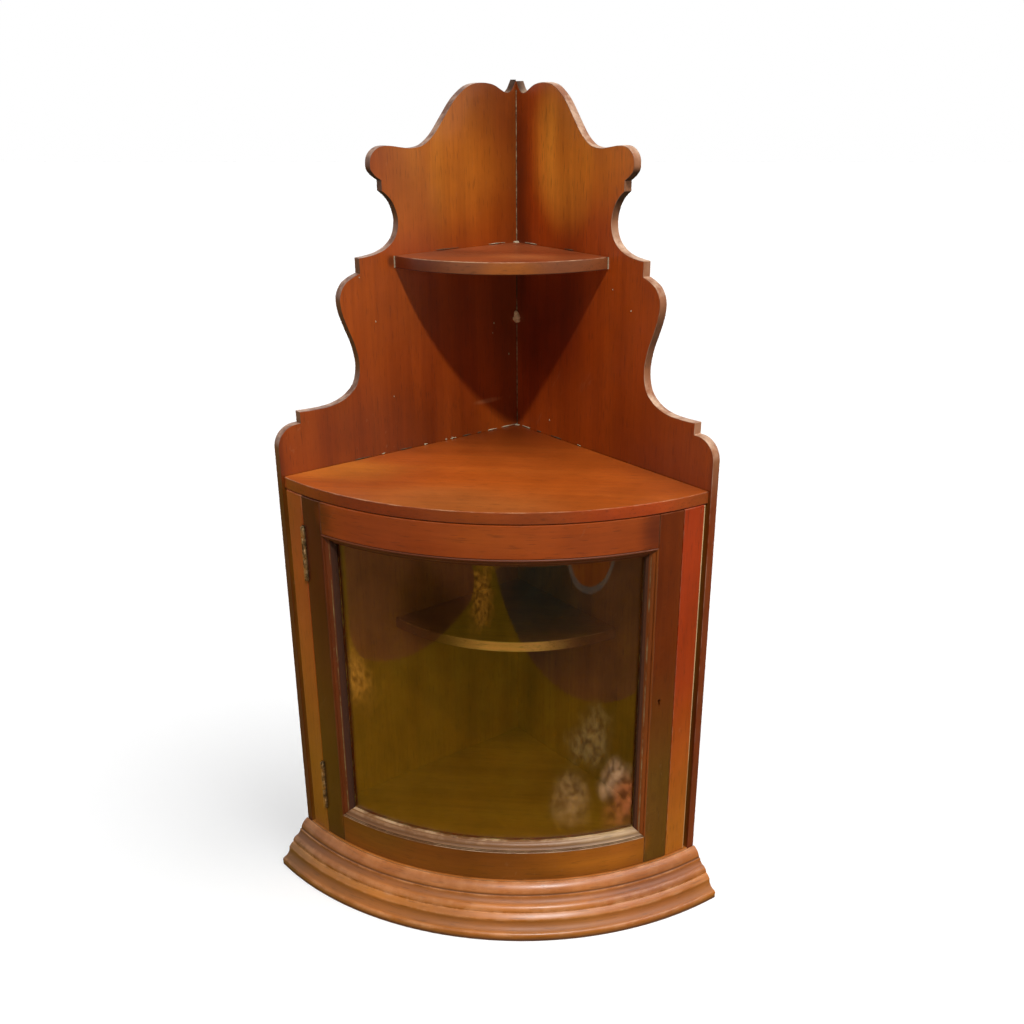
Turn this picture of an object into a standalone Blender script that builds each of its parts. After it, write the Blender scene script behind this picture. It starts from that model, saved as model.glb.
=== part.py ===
"""A bow-fronted corner cabinet: a glazed cupboard on a moulded plinth and, above its
top, a stepped and scroll-cut back that carries one small open shelf.

Lengths are in metres. +Z is up and the cabinet faces -Y. The two back boards stand at
45 degrees to that direction and meet at the rear on x = 0. Everything bowed is turned
about one upright line, the bow axis. The origin lies on the floor, under the middle of
the cabinet's overall width and depth.
"""

import math

import bmesh
import bpy
from mathutils import Matrix, Vector

# Clearances
SEAT_GAP = 0.0003
CUT_OVERRUN = 0.004
ARRIS = 0.0006

# Back boards
BACK_THICK = 0.0095
BACK_WIDTH = 0.312
GALLERY_RISE = 0.3765

# Cupboard
TOP_HEIGHT = 0.480
BOARD_THICK = 0.0127
PLINTH_HEIGHT = 0.051
FACE_RADIUS = 0.3291
BOW_BEHIND_CORNER = 0.0257
TOP_SETBACK = 0.001
INNER_SHELF_HEIGHT = 0.280
INNER_SHELF_LENGTH = 0.182
INNER_SHELF_DEPTH = 0.178
STOP_GAP = 0.0005

# Small open shelf
SMALL_SHELF_HEIGHT = 0.690
SMALL_SHELF_LENGTH = 0.157
SMALL_SHELF_DEPTH = 0.154
SMALL_SHELF_SKEW = 0.0048

# Door and the posts beside it
DOOR_THICK = 0.017
DOOR_HALF_WIDTH = 0.2085
DOOR_GAP = 0.0006
DOOR_STILE_WIDTH = 0.028
DOOR_RAIL_HEIGHT = 0.0348
TENON_THICK = 0.006
TENON_LENGTH = 0.019
TENON_SHOULDER = 0.008
QUIRK_WIDTH = 0.0046
QUIRK_DEPTH = 0.005
GLASS_THICK = 0.0025
GLASS_EDGE = 0.0032
GLAZING_WIDTH = 0.0096
GLAZING_DEPTH = 0.011
BEAD_WIDTH = 0.009

# Plinth
PLINTH_REACH = 0.0369
PLINTH_RAIL_THICK = 0.026
BLOCK_LENGTH = 0.050
BLOCK_ANGLE = math.radians(8)
CORNER_BLOCK = 0.045

# Butt hinges
HINGE_LENGTH = 0.060
HINGE_INSET = 0.034
HINGE_PROUD = 0.0008
KNUCKLES = 5
KNUCKLE_RADIUS = 0.0027
KNUCKLE_CLEARANCE = 0.0004
PIN_RADIUS = 0.0012
PIN_CLEARANCE = 0.0001
PIN_HEAD = 0.0011
LEAF_THICK = 0.0014
LEAF_WIDTH = 0.0135

# Lock
LOCK_HEIGHT = 0.2565
LOCK_WIDTH = 0.022
LOCK_LENGTH = 0.036
LOCK_THICK = 0.0082
LOCK_RECESS = 0.0003
SELVEDGE_THICK = 0.0014
SELVEDGE_WIDTH = 0.0125
BOLT_WIDTH = 0.0115
BOLT_THICK = 0.0034
BOLT_LENGTH = 0.0148
BOLT_THROW = 0.005
BOLT_CLEARANCE = 0.0003
KEYHOLE_FROM_EDGE = 0.0185
KEYHOLE_RADIUS = 0.0018
KEYHOLE_SLOT_WIDTH = 0.0018
KEYHOLE_SLOT_DROP = 0.0052

# Wood screws
SCREW_HEAD_RADIUS = 0.0034
SCREW_HEAD_DEPTH = 0.0024
SCREW_RADIUS = 0.0015
SCREW_LENGTH = 0.026
SCREW_POINT = 0.004
SCREW_SUNK = 0.0004
SCREW_SLOT_WIDTH = 0.0009
SCREW_SLOT_DEPTH = 0.0009
SCREW_CLEARANCE = 0.0002

# How finely curves are drawn
BOW_STEPS = 26
ARC_STEPS = 4
SCROLL_STEPS = 2
ROUND_STEPS = 12
KNUCKLE_STEPS = 20
SHOULDER_STEPS = 8
SHARP_ANGLE = math.radians(40)

LEFT, RIGHT = -1, 1
ROOT_HALF = math.sqrt(0.5)
QUARTER_TURN = math.pi / 2

# Places that follow from the sizes above
BOARD_EDGE_RADIUS = math.hypot(BACK_WIDTH * ROOT_HALF, BACK_WIDTH * ROOT_HALF + BOW_BEHIND_CORNER)
MOULDING_BACK_RADIUS = BOARD_EDGE_RADIUS + 2 * SEAT_GAP
PLINTH_RADIUS = MOULDING_BACK_RADIUS + PLINTH_REACH
CORNER_Y = (PLINTH_RADIUS - BOW_BEHIND_CORNER - BACK_THICK / ROOT_HALF) / 2
BOW_Y = CORNER_Y + BOW_BEHIND_CORNER
DOOR_BACK_RADIUS = FACE_RADIUS - DOOR_THICK
FLOOR_HEIGHT = PLINTH_HEIGHT + SEAT_GAP + BOARD_THICK
TOP_UNDERSIDE = TOP_HEIGHT - BOARD_THICK
DOOR_BOTTOM = PLINTH_HEIGHT + DOOR_GAP
DOOR_TOP = TOP_UNDERSIDE - DOOR_GAP
DOOR_ANGLE = DOOR_HALF_WIDTH / FACE_RADIUS
SIGHT_HALF_WIDTH = DOOR_HALF_WIDTH - DOOR_STILE_WIDTH
SIGHT_ANGLE = SIGHT_HALF_WIDTH / FACE_RADIUS
POST_ANGLE = (DOOR_HALF_WIDTH + DOOR_GAP) / FACE_RADIUS
SIGHT_BOTTOM = DOOR_BOTTOM + DOOR_RAIL_HEIGHT
SIGHT_TOP = DOOR_TOP - DOOR_RAIL_HEIGHT
GLAZING_BACK_RADIUS = FACE_RADIUS - GLAZING_DEPTH
GLASS_RADIUS = GLAZING_BACK_RADIUS - SEAT_GAP
GLASS_BACK_RADIUS = GLASS_RADIUS - GLASS_THICK
BEAD_RADIUS = GLASS_BACK_RADIUS - SEAT_GAP
HINGE_ANGLE = -(DOOR_HALF_WIDTH + DOOR_GAP / 2) / FACE_RADIUS
HINGE_RADIUS = FACE_RADIUS + HINGE_PROUD
HINGE_HEIGHTS = {
    "lower": DOOR_BOTTOM + HINGE_INSET + HINGE_LENGTH / 2,
    "upper": DOOR_TOP - HINGE_INSET - HINGE_LENGTH / 2,
}
LOCK_BACK = DOOR_THICK - LOCK_RECESS
LOCK_FRONT = LOCK_BACK - LOCK_THICK
BOLT_MIDDLE = (LOCK_FRONT + LOCK_BACK) / 2

# The scroll-cut edge of a back board. Each point is a share of BACK_WIDTH, measured
# forward from the corner, and a share of GALLERY_RISE, measured up from the top.
SHOULDER_START_SHARE = 0.080
SHOULDER_TOP_SHARE = 0.139
SHOULDER_END_SHARE = 0.923
FIRST_STEP_SHARE = 0.912
FIRST_SWEEP_SHARES = (
    (0.912, 0.1705), (0.849, 0.1690), (0.795, 0.1710), (0.753, 0.1790), (0.719, 0.1930),
    (0.692, 0.2140), (0.679, 0.2400), (0.675, 0.2660), (0.677, 0.2920), (0.689, 0.3320),
    (0.710, 0.3760), (0.728, 0.4180), (0.734, 0.4515), (0.729, 0.4740), (0.712, 0.4960),
    (0.686, 0.5095), (0.653, 0.5200),
)
SECOND_SWEEP_SHARES = (
    (0.653, 0.5600), (0.619, 0.5625), (0.580, 0.5680), (0.545, 0.5795), (0.517, 0.5980),
    (0.502, 0.6205), (0.497, 0.6480), (0.502, 0.6720), (0.514, 0.6960), (0.532, 0.7145),
    (0.554, 0.7290),
)
CREST_SHARES = (
    (0.554, 0.7560), (0.575, 0.7675), (0.590, 0.7810), (0.594, 0.7955), (0.590, 0.8155),
    (0.575, 0.8310), (0.551, 0.8405), (0.516, 0.8415), (0.474, 0.8365), (0.437, 0.8330),
    (0.397, 0.8365), (0.369, 0.8475), (0.339, 0.8685), (0.301, 0.9070), (0.266, 0.9430),
    (0.237, 0.9655), (0.196, 0.9865), (0.147, 0.9930), (0.099, 0.9880), (0.066, 0.9750),
    (0.049, 0.9680), (0.032, 0.9670), (0.018, 0.9755), (0.008, 0.9890), (0.000, 1.0000),
)
TIP_SHARES = ((-0.018, 0.9960), (-0.0305, 0.9790))

# Plinth mouldings. Each row holds a share of the moulding's reach from its back, a
# share of PLINTH_HEIGHT, and how far the line that arrives there bows out, as a share
# of that line's length.
UPPER_MOULDING_SHARES = (
    (0.000, 0.500, 0.00), (0.000, 0.986, 0.00), (0.016, 0.986, 0.00), (0.247, 0.788, 0.12),
    (0.247, 0.769, 0.00), (0.295, 0.757, 0.00), (0.431, 0.633, -0.14), (0.577, 0.520, 0.16),
    (0.577, 0.500, 0.00),
)
BASE_MOULDING_SHARES = (
    (0.000, 0.000, 0.00), (0.000, 0.494, 0.00), (0.596, 0.494, 0.00), (0.734, 0.400, 0.04),
    (0.740, 0.386, 0.00), (0.913, 0.180, -0.16), (1.000, 0.086, 0.25), (1.000, 0.000, 0.00),
)

# Glazing moulding: a share of its width, from the frame towards the glass, a share of
# its depth, from the door's face inwards, and the bow of the line that arrives there.
GLAZING_SHARES = (
    (0.00, 1.00, 0.00), (0.00, -0.03, 0.00), (0.22, -0.03, 0.30), (0.23, 0.09, 0.00),
    (0.29, 0.09, 0.00), (0.62, 0.32, 0.12), (0.95, 0.62, -0.12), (1.00, 0.66, 0.00),
    (1.00, 1.00, 0.00),
)

# Screws that fix each board to the backs: shares of the length of the board's side.
TOP_SCREW_SHARES = (0.28, 0.78)
FLOOR_SCREW_SHARES = (0.28, 0.78)
SHELF_SCREW_SHARES = (0.52,)
CORNER_SCREW_SHARES = (0.30, 0.86, 1.30)


def clear_scene():
    for obj in list(bpy.data.objects):
        bpy.data.objects.remove(obj, do_unlink=True)


def new_collection(name):
    collection = bpy.data.collections.new(name)
    bpy.context.scene.collection.children.link(collection)
    return collection


clear_scene()
PARTS = new_collection("corner_cabinet")
CUTTERS = new_collection("cutters")


def principled(name, colour, roughness, metallic=0.0, transmission=0.0):
    material = bpy.data.materials.new(name)
    material.use_nodes = True
    shader = material.node_tree.nodes["Principled BSDF"]
    shader.inputs["Base Color"].default_value = (*colour, 1)
    shader.inputs["Roughness"].default_value = roughness
    shader.inputs["Metallic"].default_value = metallic
    shader.inputs["Transmission Weight"].default_value = transmission
    return material


BACK_WOOD = principled("back_mahogany", (0.30, 0.085, 0.022), 0.32)
TOP_WOOD = principled("top_mahogany", (0.36, 0.10, 0.022), 0.28)
FRAME_WOOD = principled("frame_mahogany", (0.20, 0.052, 0.014), 0.30)
PLINTH_WOOD = principled("plinth_mahogany", (0.36, 0.13, 0.05), 0.26)
HIDDEN_WOOD = principled("unfinished_pine", (0.50, 0.34, 0.18), 0.70)
BRASS = principled("tarnished_brass", (0.42, 0.34, 0.18), 0.40, metallic=1.0)
STEEL = principled("dull_steel", (0.26, 0.25, 0.24), 0.50, metallic=1.0)
PANE = principled("old_glass", (0.60, 0.56, 0.34), 0.04, transmission=0.9)


def bow_point(radius, angle):
    """Plan position on the bow: angle 0 is the front, positive towards +X."""
    return (radius * math.sin(angle), BOW_Y - radius * math.cos(angle))


def wall_angle(radius, outward):
    """Where the circle of this radius meets the right wall, outward from its inner face."""
    return math.acos((BOW_BEHIND_CORNER - outward / ROOT_HALF) * ROOT_HALF / radius) - QUARTER_TURN / 2


def wall_point(side, along, outward):
    """Plan position beside a back board: along it from the corner, and outward from its inner face."""
    return (side * (along + outward) * ROOT_HALF, CORNER_Y + (outward - along) * ROOT_HALF)


def wall_place(side, along, outward, height):
    """A frame on a back board: local X runs forward along it and local Y runs up."""
    turn = -QUARTER_TURN / 2 if side == RIGHT else -3 * QUARTER_TURN / 2
    spot = Vector((*wall_point(side, along, outward), height))
    return Matrix.Translation(spot) @ Matrix.Rotation(turn, 4, "Z") @ Matrix.Rotation(QUARTER_TURN, 4, "X")


def bow_place(angle, radius, height):
    """A frame on the bow: local X is the direction of growing angle, Y runs inwards, Z up."""
    spot = Vector((*bow_point(radius, angle), height))
    return Matrix.Translation(spot) @ Matrix.Rotation(angle, 4, "Z")


def bow_arc(radius, start, end):
    steps = max(1, round(abs(end - start) / wall_angle(radius, 0) * BOW_STEPS / 2))
    return [bow_point(radius, start + (end - start) * i / steps) for i in range(steps + 1)]


def bow_sector(outer, inner, start, end):
    """Plan outline between two radii and two angles."""
    return bow_arc(outer, start, end) + bow_arc(inner, end, start)


def mirrored(points):
    """The same outline on the other side, with its turning direction kept."""
    return [(-x, y) for x, y in reversed(points)]


def arc_between(start, end, bow, steps=ARC_STEPS):
    """Points after start up to end, on an arc that bows to the left of the line by a share of it."""
    if bow == 0:
        return [end]
    start, end = Vector(start), Vector(end)
    chord = end - start
    left = Vector((-chord.y, chord.x))
    half = 2 * math.atan(2 * abs(bow))
    radius = chord.length / (2 * math.sin(half))
    centre = (start + end) / 2 - left.normalized() * math.copysign(radius * math.cos(half), bow)
    spoke = start - centre
    points = []
    for i in range(1, steps + 1):
        turn = -math.copysign(2 * half * i / steps, bow)
        points.append(tuple(centre + Matrix.Rotation(turn, 2) @ spoke))
    return points


def profile_from(shares, place):
    """A moulding's section: place turns each row's two shares into a position."""
    first, *rest = shares
    points = [place(first[0], first[1])]
    for across, up, bow in rest:
        points += arc_between(points[-1], place(across, up), bow)
    return points


def smooth_through(points, steps=SCROLL_STEPS):
    """A Catmull-Rom curve through the points, its ends included."""
    padded = [points[0], *points, points[-1]]
    drawn = [points[0]]
    for before, start, end, after in zip(padded, padded[1:], padded[2:], padded[3:]):
        for i in range(1, steps + 1):
            t = i / steps
            drawn.append(tuple(
                0.5 * (2 * b + (c - a) * t + (2 * a - 5 * b + 4 * c - d) * t**2
                       + (3 * b - a - 3 * c + d) * t**3)
                for a, b, c, d in zip(before, start, end, after)
            ))
    return drawn


def add_object(name, mesh, material, place=None, collection=PARTS):
    obj = bpy.data.objects.new(name, mesh)
    collection.objects.link(obj)
    if place is not None:
        obj.matrix_world = place
    if material is not None:
        mesh.materials.clear()
        mesh.materials.append(material)
    if collection is CUTTERS:
        obj.hide_render = True
        obj.display_type = "WIRE"
    return obj


def mesh_of_curve(curve):
    """The curve's solid as a mesh, with its caps welded on."""
    drawn = bpy.data.objects.new(curve.name, curve)
    CUTTERS.objects.link(drawn)
    bpy.context.view_layer.update()
    evaluated = drawn.evaluated_get(bpy.context.evaluated_depsgraph_get())
    mesh = bpy.data.meshes.new_from_object(evaluated)
    bpy.data.objects.remove(drawn)
    bm = bmesh.new()
    bm.from_mesh(mesh)
    bmesh.ops.remove_doubles(bm, verts=bm.verts, dist=SEAT_GAP / 10)
    bm.to_mesh(mesh)
    bm.free()
    return mesh


def flat_piece(name, outline, thick, material, place, collection=PARTS):
    """A board: its outline in local X and Y, half its thickness to each side along Z."""
    curve = bpy.data.curves.new(name, "CURVE")
    curve.dimensions = "2D"
    curve.fill_mode = "BOTH"
    curve.extrude = thick / 2
    spline = curve.splines.new("POLY")
    spline.points.add(len(outline) - 1)
    for point, (x, y) in zip(spline.points, outline):
        point.co = (x, y, 0, 1)
    spline.use_cyclic_u = True
    return add_object(name, mesh_of_curve(curve), material, place, collection)


def upright_piece(name, outline, low, high, material, collection=PARTS):
    """A piece with this plan outline between two heights."""
    place = Matrix.Translation((0, 0, (low + high) / 2))
    return flat_piece(name, outline, high - low, material, place, collection)


def box_piece(name, low, high, material, place, collection=PARTS):
    """A block between two corners of a local frame."""
    low, high = Vector(low), Vector(high)
    bm = bmesh.new()
    bmesh.ops.create_cube(bm, size=1)
    bmesh.ops.scale(bm, vec=high - low, verts=bm.verts)
    bmesh.ops.translate(bm, vec=(low + high) / 2, verts=bm.verts)
    mesh = bpy.data.meshes.new(name)
    bm.to_mesh(mesh)
    bm.free()
    return add_object(name, mesh, material, place, collection)


def rod_piece(name, radius, low, high, material, place, collection=PARTS, steps=KNUCKLE_STEPS):
    """A round bar along local Z between two heights."""
    bm = bmesh.new()
    bmesh.ops.create_cone(
        bm, cap_ends=True, segments=steps, radius1=radius, radius2=radius, depth=high - low
    )
    bmesh.ops.translate(bm, vec=(0, 0, (low + high) / 2), verts=bm.verts)
    mesh = bpy.data.meshes.new(name)
    bm.to_mesh(mesh)
    bm.free()
    mesh.shade_smooth()
    mesh.set_sharp_from_angle(angle=SHARP_ANGLE)
    return add_object(name, mesh, material, place, collection)


def bowed_moulding(name, section, half_angle, material):
    """A section of (radius, height) points swept round the bow axis, its ends left open."""
    bm = bmesh.new()
    ring = [bm.verts.new((*bow_point(radius, -half_angle), height)) for radius, height in section]
    edges = [bm.edges.new((a, b)) for a, b in zip(ring, ring[1:] + ring[:1])]
    bmesh.ops.spin(
        bm, geom=edges, cent=(0, BOW_Y, 0), axis=(0, 0, 1), angle=2 * half_angle, steps=BOW_STEPS
    )
    bmesh.ops.recalc_face_normals(bm, faces=bm.faces)
    mesh = bpy.data.meshes.new(name)
    bm.to_mesh(mesh)
    bm.free()
    return add_object(name, mesh, material)


def cut_square(obj, point, normal):
    """Cuts the piece off at a plane, on the side that the normal points to, and closes the cut."""
    bm = bmesh.new()
    bm.from_mesh(obj.data)
    to_local = obj.matrix_world.inverted()
    cut = bmesh.ops.bisect_plane(
        bm,
        geom=[*bm.verts, *bm.edges, *bm.faces],
        plane_co=to_local @ Vector(point),
        plane_no=to_local.to_3x3() @ Vector(normal),
        clear_outer=True,
    )
    rim = [item for item in cut["geom_cut"] if isinstance(item, bmesh.types.BMEdge)]
    bmesh.ops.contextual_create(bm, geom=rim)
    bmesh.ops.recalc_face_normals(bm, faces=bm.faces)
    bm.to_mesh(obj.data)
    bm.free()


def ease_edges(obj, width=ARRIS):
    bevel = obj.modifiers.new("eased_edges", "BEVEL")
    bevel.width = width
    bevel.segments = 1
    bevel.limit_method = "ANGLE"
    bevel.angle_limit = SHARP_ANGLE


def boolean(obj, cutter, operation="DIFFERENCE"):
    modifier = obj.modifiers.new(f"{operation.lower()}_{cutter.name}", "BOOLEAN")
    modifier.operation = operation
    modifier.object = cutter
    modifier.solver = "EXACT"


def fused(obj):
    """The object with its modifiers worked into its mesh."""
    bpy.context.view_layer.update()
    evaluated = obj.evaluated_get(bpy.context.evaluated_depsgraph_get())
    mesh = bpy.data.meshes.new_from_object(evaluated)
    obj.modifiers.clear()
    obj.data = mesh
    return obj


# Screws


def screw_profile(grown):
    """Half a countersunk screw's section, from the middle of its head to its point."""
    return (
        (0, grown),
        (SCREW_HEAD_RADIUS + grown, grown),
        (SCREW_RADIUS + grown, -SCREW_HEAD_DEPTH),
        (SCREW_RADIUS + grown, SCREW_POINT - SCREW_LENGTH),
        (0, -SCREW_LENGTH - grown),
    )


def turned_mesh(name, profile, steps=ROUND_STEPS):
    """A profile at local +X turned about local Z."""
    mesh = bpy.data.meshes.new(name)
    vertices = [(radius, 0, height) for radius, height in profile]
    mesh.from_pydata(vertices, [(i, i + 1) for i in range(len(profile) - 1)], [])
    blank = add_object(name, mesh, None, collection=CUTTERS)
    turn = blank.modifiers.new("turned", "SCREW")
    turn.steps = turn.render_steps = steps
    turn.use_merge_vertices = True
    turn.merge_threshold = SEAT_GAP / 10
    fused(blank)
    solid = blank.data
    bpy.data.objects.remove(blank)
    return solid


def screw_mesh():
    body = add_object("screw_blank", turned_mesh("screw_body", screw_profile(0)), STEEL, collection=CUTTERS)
    reach = SCREW_HEAD_RADIUS + CUT_OVERRUN
    slot = box_piece(
        "screw_slot",
        (-reach, -SCREW_SLOT_WIDTH / 2, -SCREW_SLOT_DEPTH),
        (reach, SCREW_SLOT_WIDTH / 2, CUT_OVERRUN),
        None, Matrix.Identity(4), CUTTERS,
    )
    boolean(body, slot)
    fused(body)
    mesh = body.data
    bpy.data.objects.remove(body)
    bpy.data.objects.remove(slot)
    mesh.name = "wood_screw"
    return mesh


SCREW = screw_mesh()
SCREW_HOLE = turned_mesh("screw_hole", screw_profile(SCREW_CLEARANCE))


def screw_place(side, along, height):
    """A frame on a board's outer face: local Z points out of it."""
    spot = Vector((*wall_point(side, along, BACK_THICK - SCREW_SUNK), height))
    outward = Vector((side * ROOT_HALF, ROOT_HALF, 0))
    return Matrix.Translation(spot) @ outward.to_track_quat("Z", "Y").to_matrix().to_4x4()


def screw_holes(name, places):
    """One cutter for several screws, each opened out to the board's outer face."""
    bm = bmesh.new()
    for place in places:
        hole = SCREW_HOLE.copy()
        hole.transform(place)
        bm.from_mesh(hole)
        bpy.data.meshes.remove(hole)
        mouth = bmesh.ops.create_cone(
            bm, cap_ends=True, segments=ROUND_STEPS,
            radius1=SCREW_HEAD_RADIUS + SCREW_CLEARANCE, radius2=SCREW_HEAD_RADIUS + SCREW_CLEARANCE,
            depth=CUT_OVERRUN,
            matrix=place @ Matrix.Translation((0, 0, CUT_OVERRUN / 2 + SCREW_CLEARANCE / 2)),
        )
        bmesh.ops.recalc_face_normals(bm, faces=list({f for v in mouth["verts"] for f in v.link_faces}))
    mesh = bpy.data.meshes.new(name)
    bm.to_mesh(mesh)
    bm.free()
    return add_object(name, mesh, None, collection=CUTTERS)


def add_screws(stem, places):
    for number, place in enumerate(places, 1):
        add_object(f"{stem}_{number}", SCREW, None, place)


# Carcass


def scroll_edge():
    """The free edge of a back board, from its shoulder up to the corner of its crest."""
    def spot(width_share, rise_share):
        return (BACK_WIDTH * width_share, TOP_HEIGHT + GALLERY_RISE * rise_share)

    start = spot(1, SHOULDER_START_SHARE)
    crown = spot(SHOULDER_END_SHARE, SHOULDER_TOP_SHARE)
    edge = []
    for i in range(SHOULDER_STEPS + 1):
        turn = QUARTER_TURN * i / SHOULDER_STEPS
        edge.append((
            crown[0] + (start[0] - crown[0]) * math.cos(turn),
            start[1] + (crown[1] - start[1]) * math.sin(turn),
        ))
    edge.append(spot(FIRST_STEP_SHARE, SHOULDER_TOP_SHARE))
    for shares in (FIRST_SWEEP_SHARES, SECOND_SWEEP_SHARES, CREST_SHARES):
        edge += smooth_through([spot(*share) for share in shares])
    return edge


def back_boards():
    """The right board runs through behind the left one's end."""
    edge = scroll_edge()
    left_end = [(SEAT_GAP, edge[-1][1]), (SEAT_GAP, 0)]
    tip = [(BACK_WIDTH * width, TOP_HEIGHT + GALLERY_RISE * rise) for width, rise in TIP_SHARES]
    right_end = tip[:-1] + [(-BACK_THICK, tip[-1][1]), (-BACK_THICK, 0)]
    boards = {}
    for side, name, end in ((LEFT, "back_board_left", left_end), (RIGHT, "back_board_right", right_end)):
        outline = [(BACK_WIDTH, 0), *edge[:-1], *end]
        place = wall_place(side, 0, BACK_THICK / 2, 0)
        boards[side] = flat_piece(name, outline, BACK_THICK, BACK_WOOD, place)
        ease_edges(boards[side])
    return boards


def shelf_outline(length, depth, skew=0):
    """A corner shelf whose bowed front runs from wall to wall through its greatest depth.

    With a skew it reaches that much further along the left wall, and less along the right.
    """
    right = wall_point(RIGHT, length - skew, -SEAT_GAP)
    left = wall_point(LEFT, length + skew, -SEAT_GAP)
    chord = math.dist(left, right)
    rise = (left[1] + right[1]) / 2 - (CORNER_Y - depth)
    bow = rise / chord
    steps = 2 * max(2, round(BOW_STEPS * chord / FACE_RADIUS / 4))
    arc = arc_between(left, right, -bow, steps)
    return [left, *arc, (0, CORNER_Y - SEAT_GAP / ROOT_HALF)]


def bowed_board_outline(radius):
    """A corner board whose front edge follows the cabinet's bow."""
    reach = wall_angle(radius, -SEAT_GAP)
    return [*bow_arc(radius, -reach, reach), (0, CORNER_Y - SEAT_GAP / ROOT_HALF)]


def side_length(radius):
    """How far a bowed board reaches along a wall from the corner."""
    x, y = bow_point(radius, wall_angle(radius, 0))
    return (x + CORNER_Y - y) * ROOT_HALF


def fixed_boards(backs):
    """The four horizontal boards, each screwed through the backs into its edges."""
    top_radius = FACE_RADIUS - TOP_SETBACK
    floor_radius = DOOR_BACK_RADIUS - STOP_GAP
    boards = (
        ("top_board", bowed_board_outline(top_radius), TOP_HEIGHT, TOP_WOOD,
         side_length(top_radius), TOP_SCREW_SHARES),
        ("bottom_board", bowed_board_outline(floor_radius), FLOOR_HEIGHT, BACK_WOOD,
         side_length(floor_radius), FLOOR_SCREW_SHARES),
        ("inner_shelf", shelf_outline(INNER_SHELF_LENGTH, INNER_SHELF_DEPTH), INNER_SHELF_HEIGHT,
         TOP_WOOD, INNER_SHELF_LENGTH, SHELF_SCREW_SHARES),
        ("small_shelf", shelf_outline(SMALL_SHELF_LENGTH, SMALL_SHELF_DEPTH, SMALL_SHELF_SKEW),
         SMALL_SHELF_HEIGHT, TOP_WOOD, SMALL_SHELF_LENGTH, SHELF_SCREW_SHARES),
    )
    back_places = {LEFT: [], RIGHT: []}
    for name, outline, height, wood, length, shares in boards:
        board = upright_piece(name, outline, height - BOARD_THICK, height, wood)
        ease_edges(board)
        places = []
        for side, word in ((LEFT, "left"), (RIGHT, "right")):
            here = [screw_place(side, length * share, height - BOARD_THICK / 2) for share in shares]
            add_screws(f"{name}_screw_{word}", here)
            back_places[side] += here
            places += here
        boolean(board, screw_holes(f"{name}_screw_holes", places))
    corner = [screw_place(RIGHT, -BACK_THICK / 2, TOP_HEIGHT * share) for share in CORNER_SCREW_SHARES]
    add_screws("corner_screw", corner)
    for side, word in ((LEFT, "left"), (RIGHT, "right")):
        places = corner + back_places[side]
        boolean(backs[side], screw_holes(f"back_{word}_screw_holes", places))


def plinth_moulding_section(shares):
    return profile_from(
        shares, lambda out, up: (MOULDING_BACK_RADIUS + PLINTH_REACH * out, PLINTH_HEIGHT * up)
    )


def plinth():
    """A bowed rail between the backs, faced with two mouldings that also cover their edges."""
    outer = MOULDING_BACK_RADIUS - SEAT_GAP
    inner = outer - PLINTH_RAIL_THICK
    outer_angle = wall_angle(outer, -SEAT_GAP)
    inner_angle = wall_angle(inner, -SEAT_GAP)
    outline = bow_arc(outer, -outer_angle, outer_angle) + bow_arc(inner, inner_angle, -inner_angle)
    upright_piece("plinth_rail", outline, 0, PLINTH_HEIGHT, HIDDEN_WOOD)
    for name, shares in (
        ("plinth_upper_moulding", UPPER_MOULDING_SHARES),
        ("plinth_base_moulding", BASE_MOULDING_SHARES),
    ):
        half_angle = wall_angle(PLINTH_RADIUS, 2 * BACK_THICK)
        moulding = bowed_moulding(name, plinth_moulding_section(shares), half_angle, PLINTH_WOOD)
        for side in (LEFT, RIGHT):
            point = (*wall_point(side, BACK_WIDTH, BACK_THICK), 0)
            cut_square(moulding, point, (side * ROOT_HALF, ROOT_HALF, 0))
    block_radius = inner - SEAT_GAP
    meeting = wall_angle(block_radius, -SEAT_GAP)
    heel = bow_point(block_radius, meeting)
    toe = bow_point(block_radius, meeting - BLOCK_ANGLE)
    rear = (heel[0] - BLOCK_LENGTH * ROOT_HALF, heel[1] + BLOCK_LENGTH * ROOT_HALF)
    right_block = [toe, heel, rear]
    upright_piece("glue_block_right", right_block, 0, PLINTH_HEIGHT, HIDDEN_WOOD)
    upright_piece("glue_block_left", mirrored(right_block), 0, PLINTH_HEIGHT, HIDDEN_WOOD)
    corner = [
        wall_point(LEFT, CORNER_BLOCK, -SEAT_GAP),
        wall_point(RIGHT, CORNER_BLOCK, -SEAT_GAP),
        (0, CORNER_Y - SEAT_GAP / ROOT_HALF),
    ]
    upright_piece("corner_block", corner, 0, PLINTH_HEIGHT, HIDDEN_WOOD)


def posts():
    """The fixed post at each side of the door, with a quirk cut down beside the back board."""
    wall_reach = wall_angle(FACE_RADIUS, -SEAT_GAP)
    quirk_angle = wall_reach - QUIRK_WIDTH / FACE_RADIUS
    quirk_radius = FACE_RADIUS - QUIRK_DEPTH
    right = [
        *bow_arc(FACE_RADIUS, POST_ANGLE, quirk_angle),
        bow_point(quirk_radius, quirk_angle),
        bow_point(quirk_radius, wall_angle(quirk_radius, -SEAT_GAP)),
        bow_point(DOOR_BACK_RADIUS, wall_angle(DOOR_BACK_RADIUS, -SEAT_GAP)),
        *bow_arc(DOOR_BACK_RADIUS, POST_ANGLE + QUIRK_WIDTH / FACE_RADIUS, POST_ANGLE),
    ]
    low, high = PLINTH_HEIGHT + SEAT_GAP, TOP_UNDERSIDE - SEAT_GAP
    made = {
        LEFT: upright_piece("post_left", mirrored(right), low, high, FRAME_WOOD),
        RIGHT: upright_piece("post_right", right, low, high, FRAME_WOOD),
    }
    for post in made.values():
        ease_edges(post)
    return made


# Door


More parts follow.
